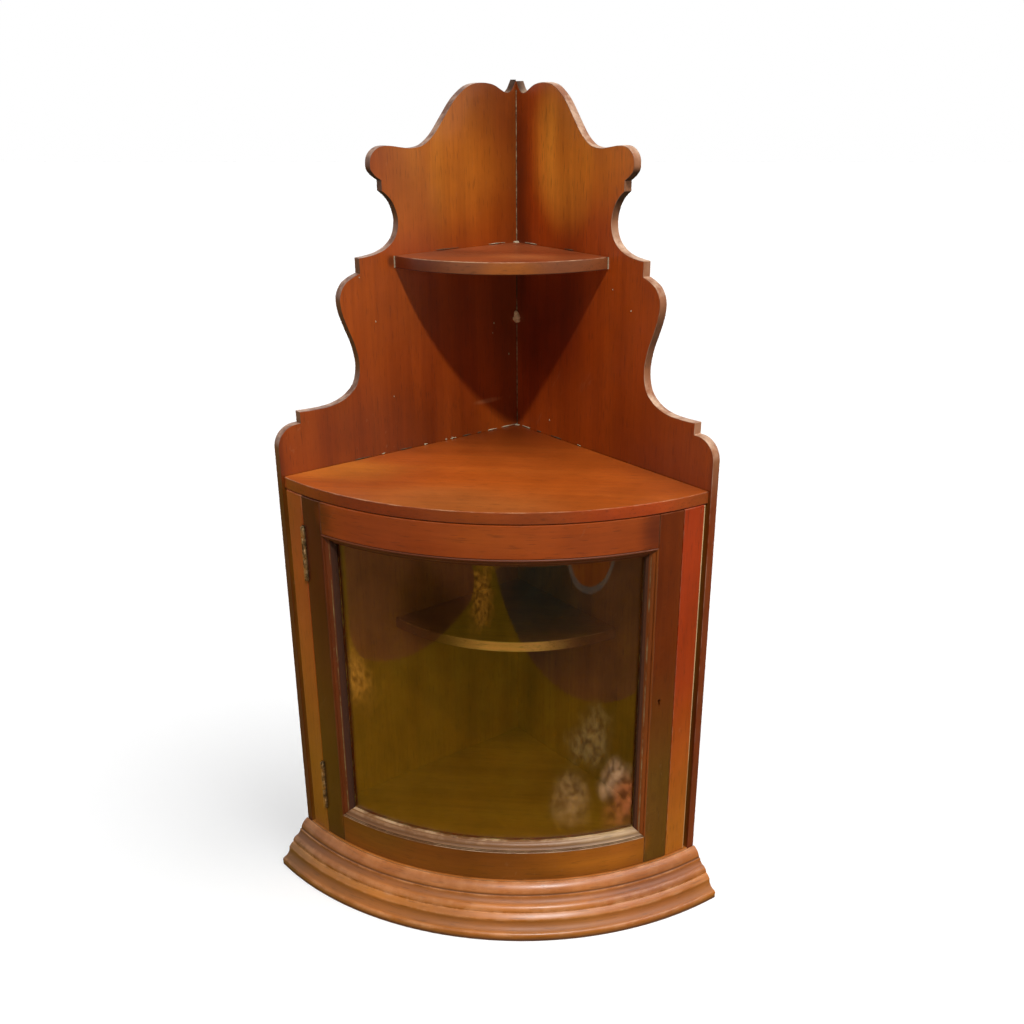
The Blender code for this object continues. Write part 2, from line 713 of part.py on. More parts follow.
def door_frame():
    """Two upright stiles, and two bowed rails tenoned into them."""
    stiles = {}
    for side, name in ((LEFT, "door_stile_left"), (RIGHT, "door_stile_right")):
        outline = bow_sector(FACE_RADIUS, DOOR_BACK_RADIUS, side * SIGHT_ANGLE, side * DOOR_ANGLE)
        stiles[side] = upright_piece(name, outline, DOOR_BOTTOM, DOOR_TOP, FRAME_WOOD)
        ease_edges(stiles[side])
    shoulder_angle = SIGHT_ANGLE - SEAT_GAP / FACE_RADIUS
    tenon_angle = SIGHT_ANGLE + TENON_LENGTH / FACE_RADIUS
    middle = (FACE_RADIUS + DOOR_BACK_RADIUS) / 2
    for name, low, high in (
        ("door_rail_bottom", DOOR_BOTTOM, SIGHT_BOTTOM),
        ("door_rail_top", SIGHT_TOP, DOOR_TOP),
    ):
        outline = bow_sector(FACE_RADIUS, DOOR_BACK_RADIUS, -shoulder_angle, shoulder_angle)
        rail = upright_piece(name, outline, low, high, FRAME_WOOD)
        ease_edges(rail)
        for cutter_name, grow, target in (("tenons", 0, [rail]), ("mortises", SEAT_GAP, stiles.values())):
            reach = tenon_angle + grow / FACE_RADIUS
            half = TENON_THICK / 2 + grow
            shape = upright_piece(
                f"{name}_{cutter_name}", bow_sector(middle + half, middle - half, -reach, reach),
                low + TENON_SHOULDER - grow, high - TENON_SHOULDER + grow, None, CUTTERS,
            )
            for piece in target:
                boolean(piece, shape, "UNION" if grow == 0 else "DIFFERENCE")
    return stiles


def glazing():
    """The moulding round the glass, mitred at its corners, the bent pane, and the beads behind it."""
    opening_angle = SIGHT_ANGLE - SEAT_GAP / FACE_RADIUS
    low, high = SIGHT_BOTTOM + SEAT_GAP, SIGHT_TOP - SEAT_GAP
    mitre_gap = SEAT_GAP / 2
    for name, edge, inward in (("glazing_bottom", low, 1), ("glazing_top", high, -1)):
        section = profile_from(
            GLAZING_SHARES,
            lambda across, deep: (FACE_RADIUS - GLAZING_DEPTH * deep, edge + inward * GLAZING_WIDTH * across),
        )
        strip = bowed_moulding(name, section, SIGHT_ANGLE, FRAME_WOOD)
        for side in (LEFT, RIGHT):
            corner = bow_place(side * opening_angle, FACE_RADIUS, edge)
            point = corner @ Vector((-side * mitre_gap, 0, 0))
            normal = corner.to_3x3() @ Vector((side, 0, inward))
            cut_square(strip, point, normal)
    for side, name in ((LEFT, "glazing_left"), (RIGHT, "glazing_right")):
        corner = bow_place(side * opening_angle, FACE_RADIUS, 0)
        section = profile_from(
            GLAZING_SHARES, lambda across, deep: (-side * GLAZING_WIDTH * across, GLAZING_DEPTH * deep)
        )
        place = corner @ Matrix.Translation((0, 0, (low + high) / 2))
        strip = flat_piece(name, section, high - low, FRAME_WOOD, place)
        for edge, inward in ((low, 1), (high, -1)):
            point = corner @ Vector((0, 0, edge + inward * mitre_gap))
            normal = corner.to_3x3() @ Vector((-side, 0, -inward))
            cut_square(strip, point, normal)
    pane_angle = (SIGHT_HALF_WIDTH - GLASS_EDGE) / FACE_RADIUS
    pane = bow_sector(GLASS_RADIUS, GLASS_BACK_RADIUS, -pane_angle, pane_angle)
    upright_piece("glass_pane", pane, SIGHT_BOTTOM + GLASS_EDGE, SIGHT_TOP - GLASS_EDGE, PANE)
    bead_inner = opening_angle - BEAD_WIDTH / FACE_RADIUS
    level = bow_sector(BEAD_RADIUS, DOOR_BACK_RADIUS, -opening_angle, opening_angle)
    upright_piece("bead_bottom", level, low, low + BEAD_WIDTH, FRAME_WOOD)
    upright_piece("bead_top", level, high - BEAD_WIDTH, high, FRAME_WOOD)
    for side, name in ((LEFT, "bead_left"), (RIGHT, "bead_right")):
        outline = bow_sector(BEAD_RADIUS, DOOR_BACK_RADIUS, side * bead_inner, side * opening_angle)
        upright_piece(name, outline, low + BEAD_WIDTH + SEAT_GAP, high - BEAD_WIDTH - SEAT_GAP, FRAME_WOOD)


# Hinges


def knuckle_spans(first):
    """Heights, from the hinge's middle, of every second knuckle."""
    pitch = HINGE_LENGTH / KNUCKLES
    low = -HINGE_LENGTH / 2
    return [
        (low + pitch * i + SEAT_GAP / 2, low + pitch * (i + 1) - SEAT_GAP / 2)
        for i in range(first, KNUCKLES, 2)
    ]


def hinge_leaf(name, side, place):
    """A leaf let into the edge beside it, with its knuckles round the pin. Side 1 is the door's."""
    near, far = sorted((side * DOOR_GAP / 2, side * (DOOR_GAP / 2 + LEAF_THICK)))
    plate_start = KNUCKLE_RADIUS + KNUCKLE_CLEARANCE
    half = HINGE_LENGTH / 2
    leaf = box_piece(name, (near, plate_start, -half), (far, LEAF_WIDTH, half), BRASS, place)
    helpers = []
    for number, (low, high) in enumerate(knuckle_spans(0 if side == LEFT else 1)):
        arm = box_piece(
            f"{name}_arm_{number}", (near, PIN_RADIUS, low), (far, plate_start + LEAF_THICK, high),
            None, place, CUTTERS,
        )
        barrel = rod_piece(f"{name}_barrel_{number}", KNUCKLE_RADIUS, low, high, None, place, CUTTERS)
        helpers += [arm, barrel]
    for helper in helpers:
        boolean(leaf, helper, "UNION")
    bore = rod_piece(
        f"{name}_bore", PIN_RADIUS + PIN_CLEARANCE, -half - CUT_OVERRUN, half + CUT_OVERRUN,
        None, place, CUTTERS,
    )
    boolean(leaf, bore)


def leaf_recess(name, side, place):
    """The sinking for a leaf, open at the front, where the knuckles stand."""
    deep = side * (DOOR_GAP / 2 + LEAF_THICK + SEAT_GAP)
    near, far = sorted((-side * CUT_OVERRUN, deep))
    half = HINGE_LENGTH / 2 + SEAT_GAP
    return box_piece(
        name, (near, -CUT_OVERRUN, -half), (far, LEAF_WIDTH + SEAT_GAP, half), None, place, CUTTERS
    )


def pin_profile():
    """A hinge pin with a low round head at each end."""
    half = HINGE_LENGTH / 2 + SEAT_GAP
    head = PIN_RADIUS + KNUCKLE_CLEARANCE * 2
    return (
        (0, half + PIN_HEAD), (head * ROOT_HALF, half + PIN_HEAD * ROOT_HALF), (head, half),
        (PIN_RADIUS, half), (PIN_RADIUS, -half),
        (head, -half), (head * ROOT_HALF, -half - PIN_HEAD * ROOT_HALF), (0, -half - PIN_HEAD),
    )


def hinges(post, stile):
    pin_mesh = turned_mesh("hinge_pin", pin_profile(), KNUCKLE_STEPS)
    for word, height in HINGE_HEIGHTS.items():
        place = bow_place(HINGE_ANGLE, HINGE_RADIUS, height)
        hinge_leaf(f"hinge_{word}_frame_leaf", LEFT, place)
        hinge_leaf(f"hinge_{word}_door_leaf", RIGHT, place)
        add_object(f"hinge_{word}_pin", pin_mesh, BRASS, place)
        half = HINGE_LENGTH / 2 + SEAT_GAP + PIN_HEAD + KNUCKLE_CLEARANCE
        groove = rod_piece(
            f"hinge_{word}_groove", KNUCKLE_RADIUS + KNUCKLE_CLEARANCE, -half, half, None, place, CUTTERS
        )
        for piece, side in ((post, LEFT), (stile, RIGHT)):
            boolean(piece, leaf_recess(f"hinge_{word}_recess_{side}", side, place))
            boolean(piece, groove)


# Lock


def keyhole_cutter(name, place, near, far, grown):
    """A round hole with a slot below it, cut along local Y."""
    radius = KEYHOLE_RADIUS + grown
    half_slot = KEYHOLE_SLOT_WIDTH / 2 + grown
    drop = KEYHOLE_SLOT_DROP + grown
    meet = -math.sqrt(radius**2 - half_slot**2)
    start = math.atan2(meet, half_slot)
    sweep = math.pi - 2 * start
    outline = [(half_slot, -drop)]
    for i in range(ROUND_STEPS + 1):
        turn = start + sweep * i / ROUND_STEPS
        outline.append((radius * math.cos(turn), radius * math.sin(turn)))
    outline.append((-half_slot, -drop))
    here = place @ Matrix.Translation((-KEYHOLE_FROM_EDGE, (near + far) / 2, 0))
    here = here @ Matrix.Rotation(QUARTER_TURN, 4, "X")
    return flat_piece(name, outline, far - near, None, here, CUTTERS)


def lock(post, stile):
    """A lock let into the back of the right stile. Its bolt slides into the right post."""
    place = bow_place(DOOR_ANGLE, FACE_RADIUS, LOCK_HEIGHT)
    half = LOCK_LENGTH / 2
    case = box_piece(
        "lock_case", (-LOCK_WIDTH, LOCK_FRONT, -half), (-SELVEDGE_THICK / 2, LOCK_BACK, half), STEEL, place
    )
    selvedge = box_piece(
        "lock_selvedge", (-SELVEDGE_THICK, LOCK_BACK - SELVEDGE_WIDTH, -half), (0, LOCK_BACK, half),
        None, place, CUTTERS,
    )
    boolean(case, selvedge, "UNION")
    slack = BOLT_CLEARANCE
    bolt_low = (-BOLT_LENGTH - SEAT_GAP, BOLT_MIDDLE - BOLT_THICK / 2, -BOLT_WIDTH / 2)
    bolt_high = (-SEAT_GAP, BOLT_MIDDLE + BOLT_THICK / 2, BOLT_WIDTH / 2)
    channel = box_piece(
        "lock_channel",
        (bolt_low[0] - slack, bolt_low[1] - slack, bolt_low[2] - slack),
        (CUT_OVERRUN, bolt_high[1] + slack, bolt_high[2] + slack),
        None, place, CUTTERS,
    )
    boolean(case, channel)
    boolean(case, keyhole_cutter("lock_keyhole", place, LOCK_FRONT - CUT_OVERRUN, BOLT_MIDDLE, SEAT_GAP))
    bolt = box_piece("lock_bolt", bolt_low, bolt_high, BRASS, place)
    ease_edges(bolt, SEAT_GAP)
    sinking = box_piece(
        "lock_sinking",
        (-LOCK_WIDTH - SEAT_GAP, LOCK_FRONT - SEAT_GAP, -half - SEAT_GAP),
        (CUT_OVERRUN, DOOR_THICK + CUT_OVERRUN, half + SEAT_GAP),
        None, place, CUTTERS,
    )
    edge_sinking = box_piece(
        "selvedge_sinking",
        (-SELVEDGE_THICK - SEAT_GAP, LOCK_BACK - SELVEDGE_WIDTH - SEAT_GAP, -half - SEAT_GAP),
        (CUT_OVERRUN, DOOR_THICK + CUT_OVERRUN, half + SEAT_GAP),
        None, place, CUTTERS,
    )
    boolean(stile, sinking)
    boolean(stile, edge_sinking)
    boolean(stile, keyhole_cutter("stile_keyhole", place, -CUT_OVERRUN, LOCK_FRONT + CUT_OVERRUN / 4, 0))
    mortise = box_piece(
        "bolt_mortise",
        (DOOR_GAP - CUT_OVERRUN, bolt_low[1] - 2 * slack, bolt_low[2] - 2 * slack),
        (BOLT_THROW + 2 * DOOR_GAP, bolt_high[1] + 2 * slack, bolt_high[2] + 2 * slack),
        None, place, CUTTERS,
    )
    boolean(post, mortise)


def build_cabinet():
    backs = back_boards()
    fixed_boards(backs)
    plinth()
    post = posts()
    stile = door_frame()
    glazing()
    hinges(post[LEFT], stile[LEFT])
    lock(post[RIGHT], stile[RIGHT])


build_cabinet()
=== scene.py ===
"""The looks of a bow-fronted corner cabinet: varnished mahogany, a bent pane, brass butt hinges.

Lengths are in metres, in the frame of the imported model: +Z is up and the bowed front faces
-Y. Everything bowed is turned about one upright line, the bow axis.
"""

import math
import random

import bmesh
import bpy
import numpy as np
from mathutils import Matrix, Vector, noise


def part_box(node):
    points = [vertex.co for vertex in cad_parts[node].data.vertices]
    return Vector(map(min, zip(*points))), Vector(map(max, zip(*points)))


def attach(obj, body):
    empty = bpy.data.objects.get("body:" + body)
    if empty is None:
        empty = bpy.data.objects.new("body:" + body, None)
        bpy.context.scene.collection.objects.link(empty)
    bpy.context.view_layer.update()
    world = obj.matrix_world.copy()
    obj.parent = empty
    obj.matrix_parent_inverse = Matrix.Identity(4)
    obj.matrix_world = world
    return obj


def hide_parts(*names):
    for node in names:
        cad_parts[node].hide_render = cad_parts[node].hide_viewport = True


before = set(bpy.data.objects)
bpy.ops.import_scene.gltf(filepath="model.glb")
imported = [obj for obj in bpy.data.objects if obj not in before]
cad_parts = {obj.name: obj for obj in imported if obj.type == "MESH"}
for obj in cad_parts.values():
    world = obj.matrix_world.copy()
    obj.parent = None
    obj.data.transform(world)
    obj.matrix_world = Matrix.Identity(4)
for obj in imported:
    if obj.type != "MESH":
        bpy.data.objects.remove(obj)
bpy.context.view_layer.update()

# Boards and clearances, as built
SEAT_GAP = 0.0003
BACK_THICK = 0.0095
BACK_WIDTH = 0.312
GALLERY_RISE = 0.3765
BOW_BEHIND_CORNER = 0.0257
FACE_RADIUS = 0.3291
TOP_SETBACK = 0.001
STOP_GAP = 0.0005
INNER_SHELF_LENGTH = 0.182
INNER_SHELF_DEPTH = 0.178
SMALL_SHELF_LENGTH = 0.157
SMALL_SHELF_DEPTH = 0.154
SMALL_SHELF_SKEW = 0.0048

# Door and posts, as built
DOOR_THICK = 0.017
DOOR_HALF_WIDTH = 0.2085
DOOR_GAP = 0.0006
DOOR_STILE_WIDTH = 0.028
DOOR_RAIL_HEIGHT = 0.0348
QUIRK_WIDTH = 0.0046
QUIRK_DEPTH = 0.005
GLASS_THICK = 0.0025
GLASS_EDGE = 0.0032
GLAZING_WIDTH = 0.0096
GLAZING_DEPTH = 0.011
BEAD_WIDTH = 0.009

# Plinth, hinges and lock, as built
PLINTH_REACH = 0.0367
PLINTH_RAIL_THICK = 0.026
BLOCK_LENGTH = 0.050
BLOCK_ANGLE = math.radians(8)
CORNER_BLOCK = 0.045
HINGE_PROUD = 0.0008
HINGE_LENGTH = 0.060
KNUCKLE_RADIUS = 0.0027
KNUCKLE_CLEARANCE = 0.0004
LEAF_THICK = 0.0014
LEAF_WIDTH = 0.0135
PIN_HEAD = 0.0011
LOCK_HEIGHT = 0.2565
LOCK_WIDTH = 0.022
LOCK_LENGTH = 0.036
LOCK_THICK = 0.0082
LOCK_RECESS = 0.0003
SELVEDGE_THICK = 0.0014
SELVEDGE_WIDTH = 0.0125
BOLT_WIDTH = 0.0115
BOLT_THICK = 0.0034
BOLT_THROW = 0.005
BOLT_CLEARANCE = 0.0003
KEYHOLE_FROM_EDGE = 0.0185
KEYHOLE_RADIUS = 0.0018
KEYHOLE_SLOT_WIDTH = 0.0018
KEYHOLE_SLOT_DROP = 0.0052

# How round the arrises are, and how finely curves are drawn
BOARD_ARRIS = 0.0011
FRAME_ARRIS = 0.0007
ARRIS_STEPS = 2
BOW_STEPS = 120
ARC_STEPS = 8
SCROLL_STEPS = 6
SHOULDER_STEPS = 14
ROUND_STEPS = 24
SMOOTH_ANGLE = math.radians(34)
GLASS_WAVE = 0.06
GLASS_WAVE_DEPTH = 0.00004
CUT_OVERRUN = 0.004
TIP_DARK = 0.018
# How high the darkened foot of a moulding reaches: dirt and painted contact shadow
FOOT_SHADOW_AND_DIRT = 0.0018
RAW_STRIP = 0.0016
BEAD_PITCH = 0.003
HEAD_RADIUS = 0.0019
HEAD_PROUD = 0.0001
HEAD_SUNK = 0.0003
SLOT_HALF = 0.00028
SLOT_DEPTH = 0.00035

# How squarely a face has to look one way to take another wood, and how strongly a moulding's
# turns are marked
FLAT = 0.95
LEVEL = 0.9
LIFTED = 0.3
MARK_STRENGTH = 2.4

LEFT, RIGHT = -1, 1
ROOT_HALF = math.sqrt(0.5)
QUARTER_TURN = math.pi / 2
UP = Vector((0, 0, 1))

# Places that follow from the frame and the sizes above
TOP_LOW, TOP_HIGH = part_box("top_board")
TOP_HEIGHT = TOP_HIGH.z
BOW_Y = TOP_LOW.y + FACE_RADIUS - TOP_SETBACK
CORNER_Y = BOW_Y - BOW_BEHIND_CORNER
PLINTH_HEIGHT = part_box("plinth_rail")[1].z
BACK_FORWARD = BACK_WIDTH * ROOT_HALF
BOARD_EDGE_RADIUS = math.hypot(BACK_FORWARD, BACK_FORWARD + BOW_BEHIND_CORNER)
MOULDING_BACK_RADIUS = BOARD_EDGE_RADIUS + 2 * SEAT_GAP
DOOR_BACK_RADIUS = FACE_RADIUS - DOOR_THICK
DOOR_LOW, DOOR_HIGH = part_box("door_stile_left")
DOOR_BOTTOM, DOOR_TOP = DOOR_LOW.z, DOOR_HIGH.z
DOOR_ANGLE = DOOR_HALF_WIDTH / FACE_RADIUS
SIGHT_HALF_WIDTH = DOOR_HALF_WIDTH - DOOR_STILE_WIDTH
SIGHT_ANGLE = SIGHT_HALF_WIDTH / FACE_RADIUS
POST_ANGLE = (DOOR_HALF_WIDTH + DOOR_GAP) / FACE_RADIUS
SIGHT_BOTTOM = DOOR_BOTTOM + DOOR_RAIL_HEIGHT
SIGHT_TOP = DOOR_TOP - DOOR_RAIL_HEIGHT
GLAZING_BACK_RADIUS = FACE_RADIUS - GLAZING_DEPTH
GLASS_RADIUS = GLAZING_BACK_RADIUS - SEAT_GAP
GLASS_BACK_RADIUS = GLASS_RADIUS - GLASS_THICK
BEAD_RADIUS = GLASS_BACK_RADIUS - SEAT_GAP
HINGE_ANGLE = -(DOOR_HALF_WIDTH + DOOR_GAP / 2) / FACE_RADIUS
HINGE_RADIUS = FACE_RADIUS + HINGE_PROUD
LOCK_BACK = DOOR_THICK - LOCK_RECESS
LOCK_FRONT = LOCK_BACK - LOCK_THICK
BOLT_MIDDLE = (LOCK_FRONT + LOCK_BACK) / 2

# The scroll-cut edge of a back board, as shares of BACK_WIDTH and of GALLERY_RISE
SHOULDER_START_SHARE = 0.080
SHOULDER_TOP_SHARE = 0.139
SHOULDER_END_SHARE = 0.923
FIRST_STEP_SHARE = 0.912
FIRST_SWEEP_SHARES = (
    (0.912, 0.1705), (0.849, 0.1690), (0.795, 0.1710), (0.753, 0.1790), (0.719, 0.1930),
    (0.692, 0.2140), (0.679, 0.2400), (0.675, 0.2660), (0.677, 0.2920), (0.689, 0.3320),
    (0.710, 0.3760), (0.728, 0.4180), (0.734, 0.4515), (0.729, 0.4740), (0.712, 0.4960),
    (0.686, 0.5095), (0.653, 0.5200),
)
SECOND_SWEEP_SHARES = (
    (0.653, 0.5600), (0.619, 0.5625), (0.580, 0.5680), (0.545, 0.5795), (0.517, 0.5980),
    (0.502, 0.6205), (0.497, 0.6480), (0.502, 0.6720), (0.514, 0.6960), (0.532, 0.7145),
    (0.554, 0.7290),
)
CREST_SHARES = (
    (0.554, 0.7560), (0.575, 0.7675), (0.590, 0.7810), (0.594, 0.7955), (0.590, 0.8155),
    (0.575, 0.8310), (0.551, 0.8405), (0.516, 0.8415), (0.474, 0.8365), (0.437, 0.8330),
    (0.397, 0.8365), (0.369, 0.8475), (0.339, 0.8685), (0.301, 0.9070), (0.266, 0.9430),
    (0.237, 0.9655), (0.196, 0.9865), (0.147, 0.9930), (0.099, 0.9880), (0.066, 0.9750),
    (0.049, 0.9680), (0.032, 0.9670), (0.018, 0.9755), (0.008, 0.9890), (0.000, 1.0000),
)
TIP_SHARES = ((-0.018, 0.9960), (-0.0305, 0.9790))

# Moulding sections: a share of the reach, a share of the height, and the bow of the line
# that arrives there, as a share of its length
UPPER_MOULDING_SHARES = (
    (0.000, 0.500, 0.00), (0.000, 0.986, 0.00), (0.016, 0.986, 0.00), (0.247, 0.788, 0.12),
    (0.247, 0.769, 0.00), (0.295, 0.757, 0.00), (0.431, 0.633, -0.14), (0.577, 0.520, 0.16),
    (0.577, 0.500, 0.00),
)
BASE_MOULDING_SHARES = (
    (0.000, 0.000, 0.00), (0.000, 0.494, 0.00), (0.596, 0.494, 0.00), (0.734, 0.400, 0.04),
    (0.740, 0.386, 0.00), (0.913, 0.180, -0.16), (1.000, 0.086, 0.25), (1.000, 0.034, 0.00),
    (1.000, 0.022, 0.00), (1.000, 0.000, 0.00),
)
GLAZING_SHARES = (
    (0.00, 1.00, 0.00), (0.00, -0.03, 0.00), (0.22, -0.03, 0.30), (0.23, 0.09, 0.00),
    (0.29, 0.09, 0.00), (0.62, 0.32, 0.12), (0.95, 0.62, -0.12), (1.00, 0.66, 0.00),
    (1.00, 1.00, 0.00),
)
# Where the glazing's middle crest lies, as a share of its width
CREST_SHARE = 0.62

# Filler and glue beside the joints: along the board from the corner, height, half length,
# half width, and pale or dark. The dark strokes are glue and also painted shade in the joints
LEFT_STROKES = (
    (0.014, 0.4807, 0.0100, 0.0006, True), (0.037, 0.4806, 0.0070, 0.0005, True),
    (0.056, 0.4806, 0.0030, 0.0006, False), (0.074, 0.4806, 0.0060, 0.0006, False),
    (0.093, 0.4807, 0.0045, 0.0007, True), (0.103, 0.4808, 0.0014, 0.0009, True),
    (0.131, 0.4807, 0.0022, 0.0008, True), (0.158, 0.4806, 0.0080, 0.0005, False),
    (0.187, 0.4806, 0.0020, 0.0006, True), (0.214, 0.4806, 0.0100, 0.0005, False),
    (0.033, 0.6040, 0.0006, 0.0012, True), (0.035, 0.5930, 0.0006, 0.0008, True),
    (0.012, 0.5660, 0.0008, 0.0012, True), (0.028, 0.6909, 0.0120, 0.0004, True),
    (0.095, 0.6909, 0.0160, 0.0004, False), (0.205, 0.6720, 0.0006, 0.0007, True),
    (0.188, 0.6250, 0.0004, 0.0009, True), (0.170, 0.5420, 0.0005, 0.0006, True),
)
RIGHT_STROKES = (
    (0.017, 0.4806, 0.0080, 0.0005, True), (0.041, 0.4806, 0.0040, 0.0006, False),
    (0.072, 0.4806, 0.0100, 0.0005, False), (0.112, 0.4806, 0.0030, 0.0005, True),
    (0.060, 0.4980, 0.0005, 0.0009, True), (0.026, 0.6909, 0.0110, 0.0004, True),
    (0.090, 0.6909, 0.0080, 0.0004, False), (0.160, 0.6580, 0.0005, 0.0007, True),
    (0.188, 0.6400, 0.0005, 0.0009, True),
)
STROKE_HALF_THICK = 0.0007

# Screws, as shares: inward and up from a hinge leaf's middle, and up and across the lock
HINGE_SCREW_SHARES = ((0.62, -0.34), (0.74, 0.0), (0.62, 0.34))
LOCK_SCREW_SHARES = (-0.38, 0.38)
LOCK_SCREW_ACROSS = 0.8


# Places and outlines


def bow_point(radius, angle):
    """Plan position on the bow: angle 0 is the front, positive towards +X."""
    return (radius * math.sin(angle), BOW_Y - radius * math.cos(angle))


def wall_angle(radius, outward):
    """Where the circle of this radius meets the right wall, outward from its inner face."""
    reach = (BOW_BEHIND_CORNER - outward / ROOT_HALF) * ROOT_HALF / radius
    return math.acos(reach) - QUARTER_TURN / 2


def wall_point(side, along, outward):
    """Plan position by a back board: along it from the corner, outward from its inner face."""
    return (side * (along + outward) * ROOT_HALF, CORNER_Y + (outward - along) * ROOT_HALF)


def wall_place(side, along, outward, height):
    """A frame on a back board: local X runs forward along it and local Y runs up."""
    turn = -QUARTER_TURN / 2 if side == RIGHT else -3 * QUARTER_TURN / 2
    shift = Matrix.Translation((*wall_point(side, along, outward), height))
    return shift @ Matrix.Rotation(turn, 4, "Z") @ Matrix.Rotation(QUARTER_TURN, 4, "X")


def bow_place(angle, radius, height):
    """A frame on the bow: local X is the direction of growing angle, Y runs inwards, Z up."""
    shift = Matrix.Translation((*bow_point(radius, angle), height))
    return shift @ Matrix.Rotation(angle, 4, "Z")


def bow_arc(radius, start, end):
    steps = max(4, round(abs(end - start) / wall_angle(radius, 0) * BOW_STEPS / 2))
    return [bow_point(radius, start + (end - start) * i / steps) for i in range(steps + 1)]


def bow_sector(outer, inner, start, end):
    """Plan outline between two radii and two angles."""
    return bow_arc(outer, start, end) + bow_arc(inner, end, start)


def mirrored(points):
    return [(-x, y) for x, y in reversed(points)]


def arc_between(start, end, bow, steps=ARC_STEPS):
    """Points after start up to end, on an arc that bows to the left by a share of the line."""
    if bow == 0:
        return [end]
    start, end = Vector(start), Vector(end)
    chord = end - start
    left = Vector((-chord.y, chord.x))
    half = 2 * math.atan(2 * abs(bow))
    radius = chord.length / (2 * math.sin(half))
    centre = (start + end) / 2 - left.normalized() * math.copysign(radius * math.cos(half), bow)
    spoke = start - centre
    points = []
    for i in range(1, steps + 1):
        turn = -math.copysign(2 * half * i / steps, bow)
        points.append(tuple(centre + Matrix.Rotation(turn, 2) @ spoke))
    return points


def profile_from(shares, place):
    """A moulding's section: place turns each row's two shares into a position."""
    first, *rest = shares
    points = [place(first[0], first[1])]
    for across, up, bow in rest:
        points += arc_between(points[-1], place(across, up), bow)
    return points


def smooth_through(points):
    """A Catmull-Rom curve through the points, its ends included."""
    padded = [points[0], *points, points[-1]]
    drawn = [points[0]]
    for before, start, end, after in zip(padded, padded[1:], padded[2:], padded[3:]):
        for i in range(1, SCROLL_STEPS + 1):
            t = i / SCROLL_STEPS
            drawn.append(tuple(
                0.5 * (2 * b + (c - a) * t + (2 * a - 5 * b + 4 * c - d) * t**2
                       + (3 * b - a - 3 * c + d) * t**3)
                for a, b, c, d in zip(before, start, end, after)
            ))
    return drawn


def scroll_point(width_share, rise_share):
    """A place on a back board: along it from the corner, and its height."""
    return (BACK_WIDTH * width_share, TOP_HEIGHT + GALLERY_RISE * rise_share)


def scroll_edge():
    """The free edge of a back board, from its shoulder up to the corner of its crest."""
    start = scroll_point(1, SHOULDER_START_SHARE)
    crown = scroll_point(SHOULDER_END_SHARE, SHOULDER_TOP_SHARE)
    edge = []
    for i in range(SHOULDER_STEPS + 1):
        turn = QUARTER_TURN * i / SHOULDER_STEPS
        edge.append((
            crown[0] + (start[0] - crown[0]) * math.cos(turn),
            start[1] + (crown[1] - start[1]) * math.sin(turn),
        ))
    edge.append(scroll_point(FIRST_STEP_SHARE, SHOULDER_TOP_SHARE))
    for shares in (FIRST_SWEEP_SHARES, SECOND_SWEEP_SHARES, CREST_SHARES):
        edge += smooth_through([scroll_point(*share) for share in shares])
    return edge


def bowed_board_outline(radius):
    """A corner board whose front edge follows the cabinet's bow."""
    reach = wall_angle(radius, -SEAT_GAP)
    return [*bow_arc(radius, -reach, reach), (0, CORNER_Y - SEAT_GAP / ROOT_HALF)]


def shelf_outline(length, depth, skew=0):
    """A corner shelf whose bowed front runs from wall to wall through its greatest depth.

    With a skew it reaches that much further along the left wall, and less along the right.
    """
    right = wall_point(RIGHT, length - skew, -SEAT_GAP)
    left = wall_point(LEFT, length + skew, -SEAT_GAP)
    chord = math.dist(left, right)
    rise = (left[1] + right[1]) / 2 - (CORNER_Y - depth)
    steps = 2 * round(BOW_STEPS * chord / FACE_RADIUS / 4)
    arc = arc_between(left, right, -rise / chord, steps)
    return [left, *arc, (0, CORNER_Y - SEAT_GAP / ROOT_HALF)]


# Meshes


def slab(outline, low, high):
    """A board with this plan outline between two heights."""
    bm = bmesh.new()
    face = bm.faces.new([bm.verts.new((x, y, low)) for x, y in outline])
    made = bmesh.ops.extrude_face_region(bm, geom=[face])["geom"]
    top = [item for item in made if isinstance(item, bmesh.types.BMVert)]
    bmesh.ops.translate(bm, vec=(0, 0, high - low), verts=top)
    bmesh.ops.recalc_face_normals(bm, faces=bm.faces)
    return bm


def swept(section, half_angle):
    """A section of (radius, height) points swept round the bow axis, its ends left open."""
    bm = bmesh.new()
    ring = [bm.verts.new((*bow_point(radius, -half_angle), height)) for radius, height in section]
    edges = [bm.edges.new((a, b)) for a, b in zip(ring, ring[1:] + ring[:1])]
    bmesh.ops.spin(
        bm, geom=edges, cent=(0, BOW_Y, 0), axis=UP, angle=2 * half_angle, steps=BOW_STEPS
    )
    bmesh.ops.recalc_face_normals(bm, faces=bm.faces)
    return bm


def cut_square(bm, point, normal):
    """Cuts a mesh off at a plane, on the side that the normal points to, and closes the cut."""
    everything = [*bm.verts, *bm.edges, *bm.faces]
    cut = bmesh.ops.bisect_plane(
        bm, geom=everything, plane_co=point, plane_no=normal, clear_outer=True
    )
    rim = [item for item in cut["geom_cut"] if isinstance(item, bmesh.types.BMEdge)]
    bmesh.ops.contextual_create(bm, geom=rim)
    bmesh.ops.recalc_face_normals(bm, faces=bm.faces)


def slice_up(bm, pitch):
    """Cuts a mesh across at every pitch of its height, so that it has points to shape."""
    heights = [vert.co.z for vert in bm.verts]
    low, high = min(heights), max(heights)
    count = int((high - low) / pitch)
    for i in range(1, count + 1):
        level = low + (high - low) * i / (count + 1)
        everything = [*bm.verts, *bm.edges, *bm.faces]
        bmesh.ops.bisect_plane(bm, geom=everything, plane_co=UP * level, plane_no=UP)


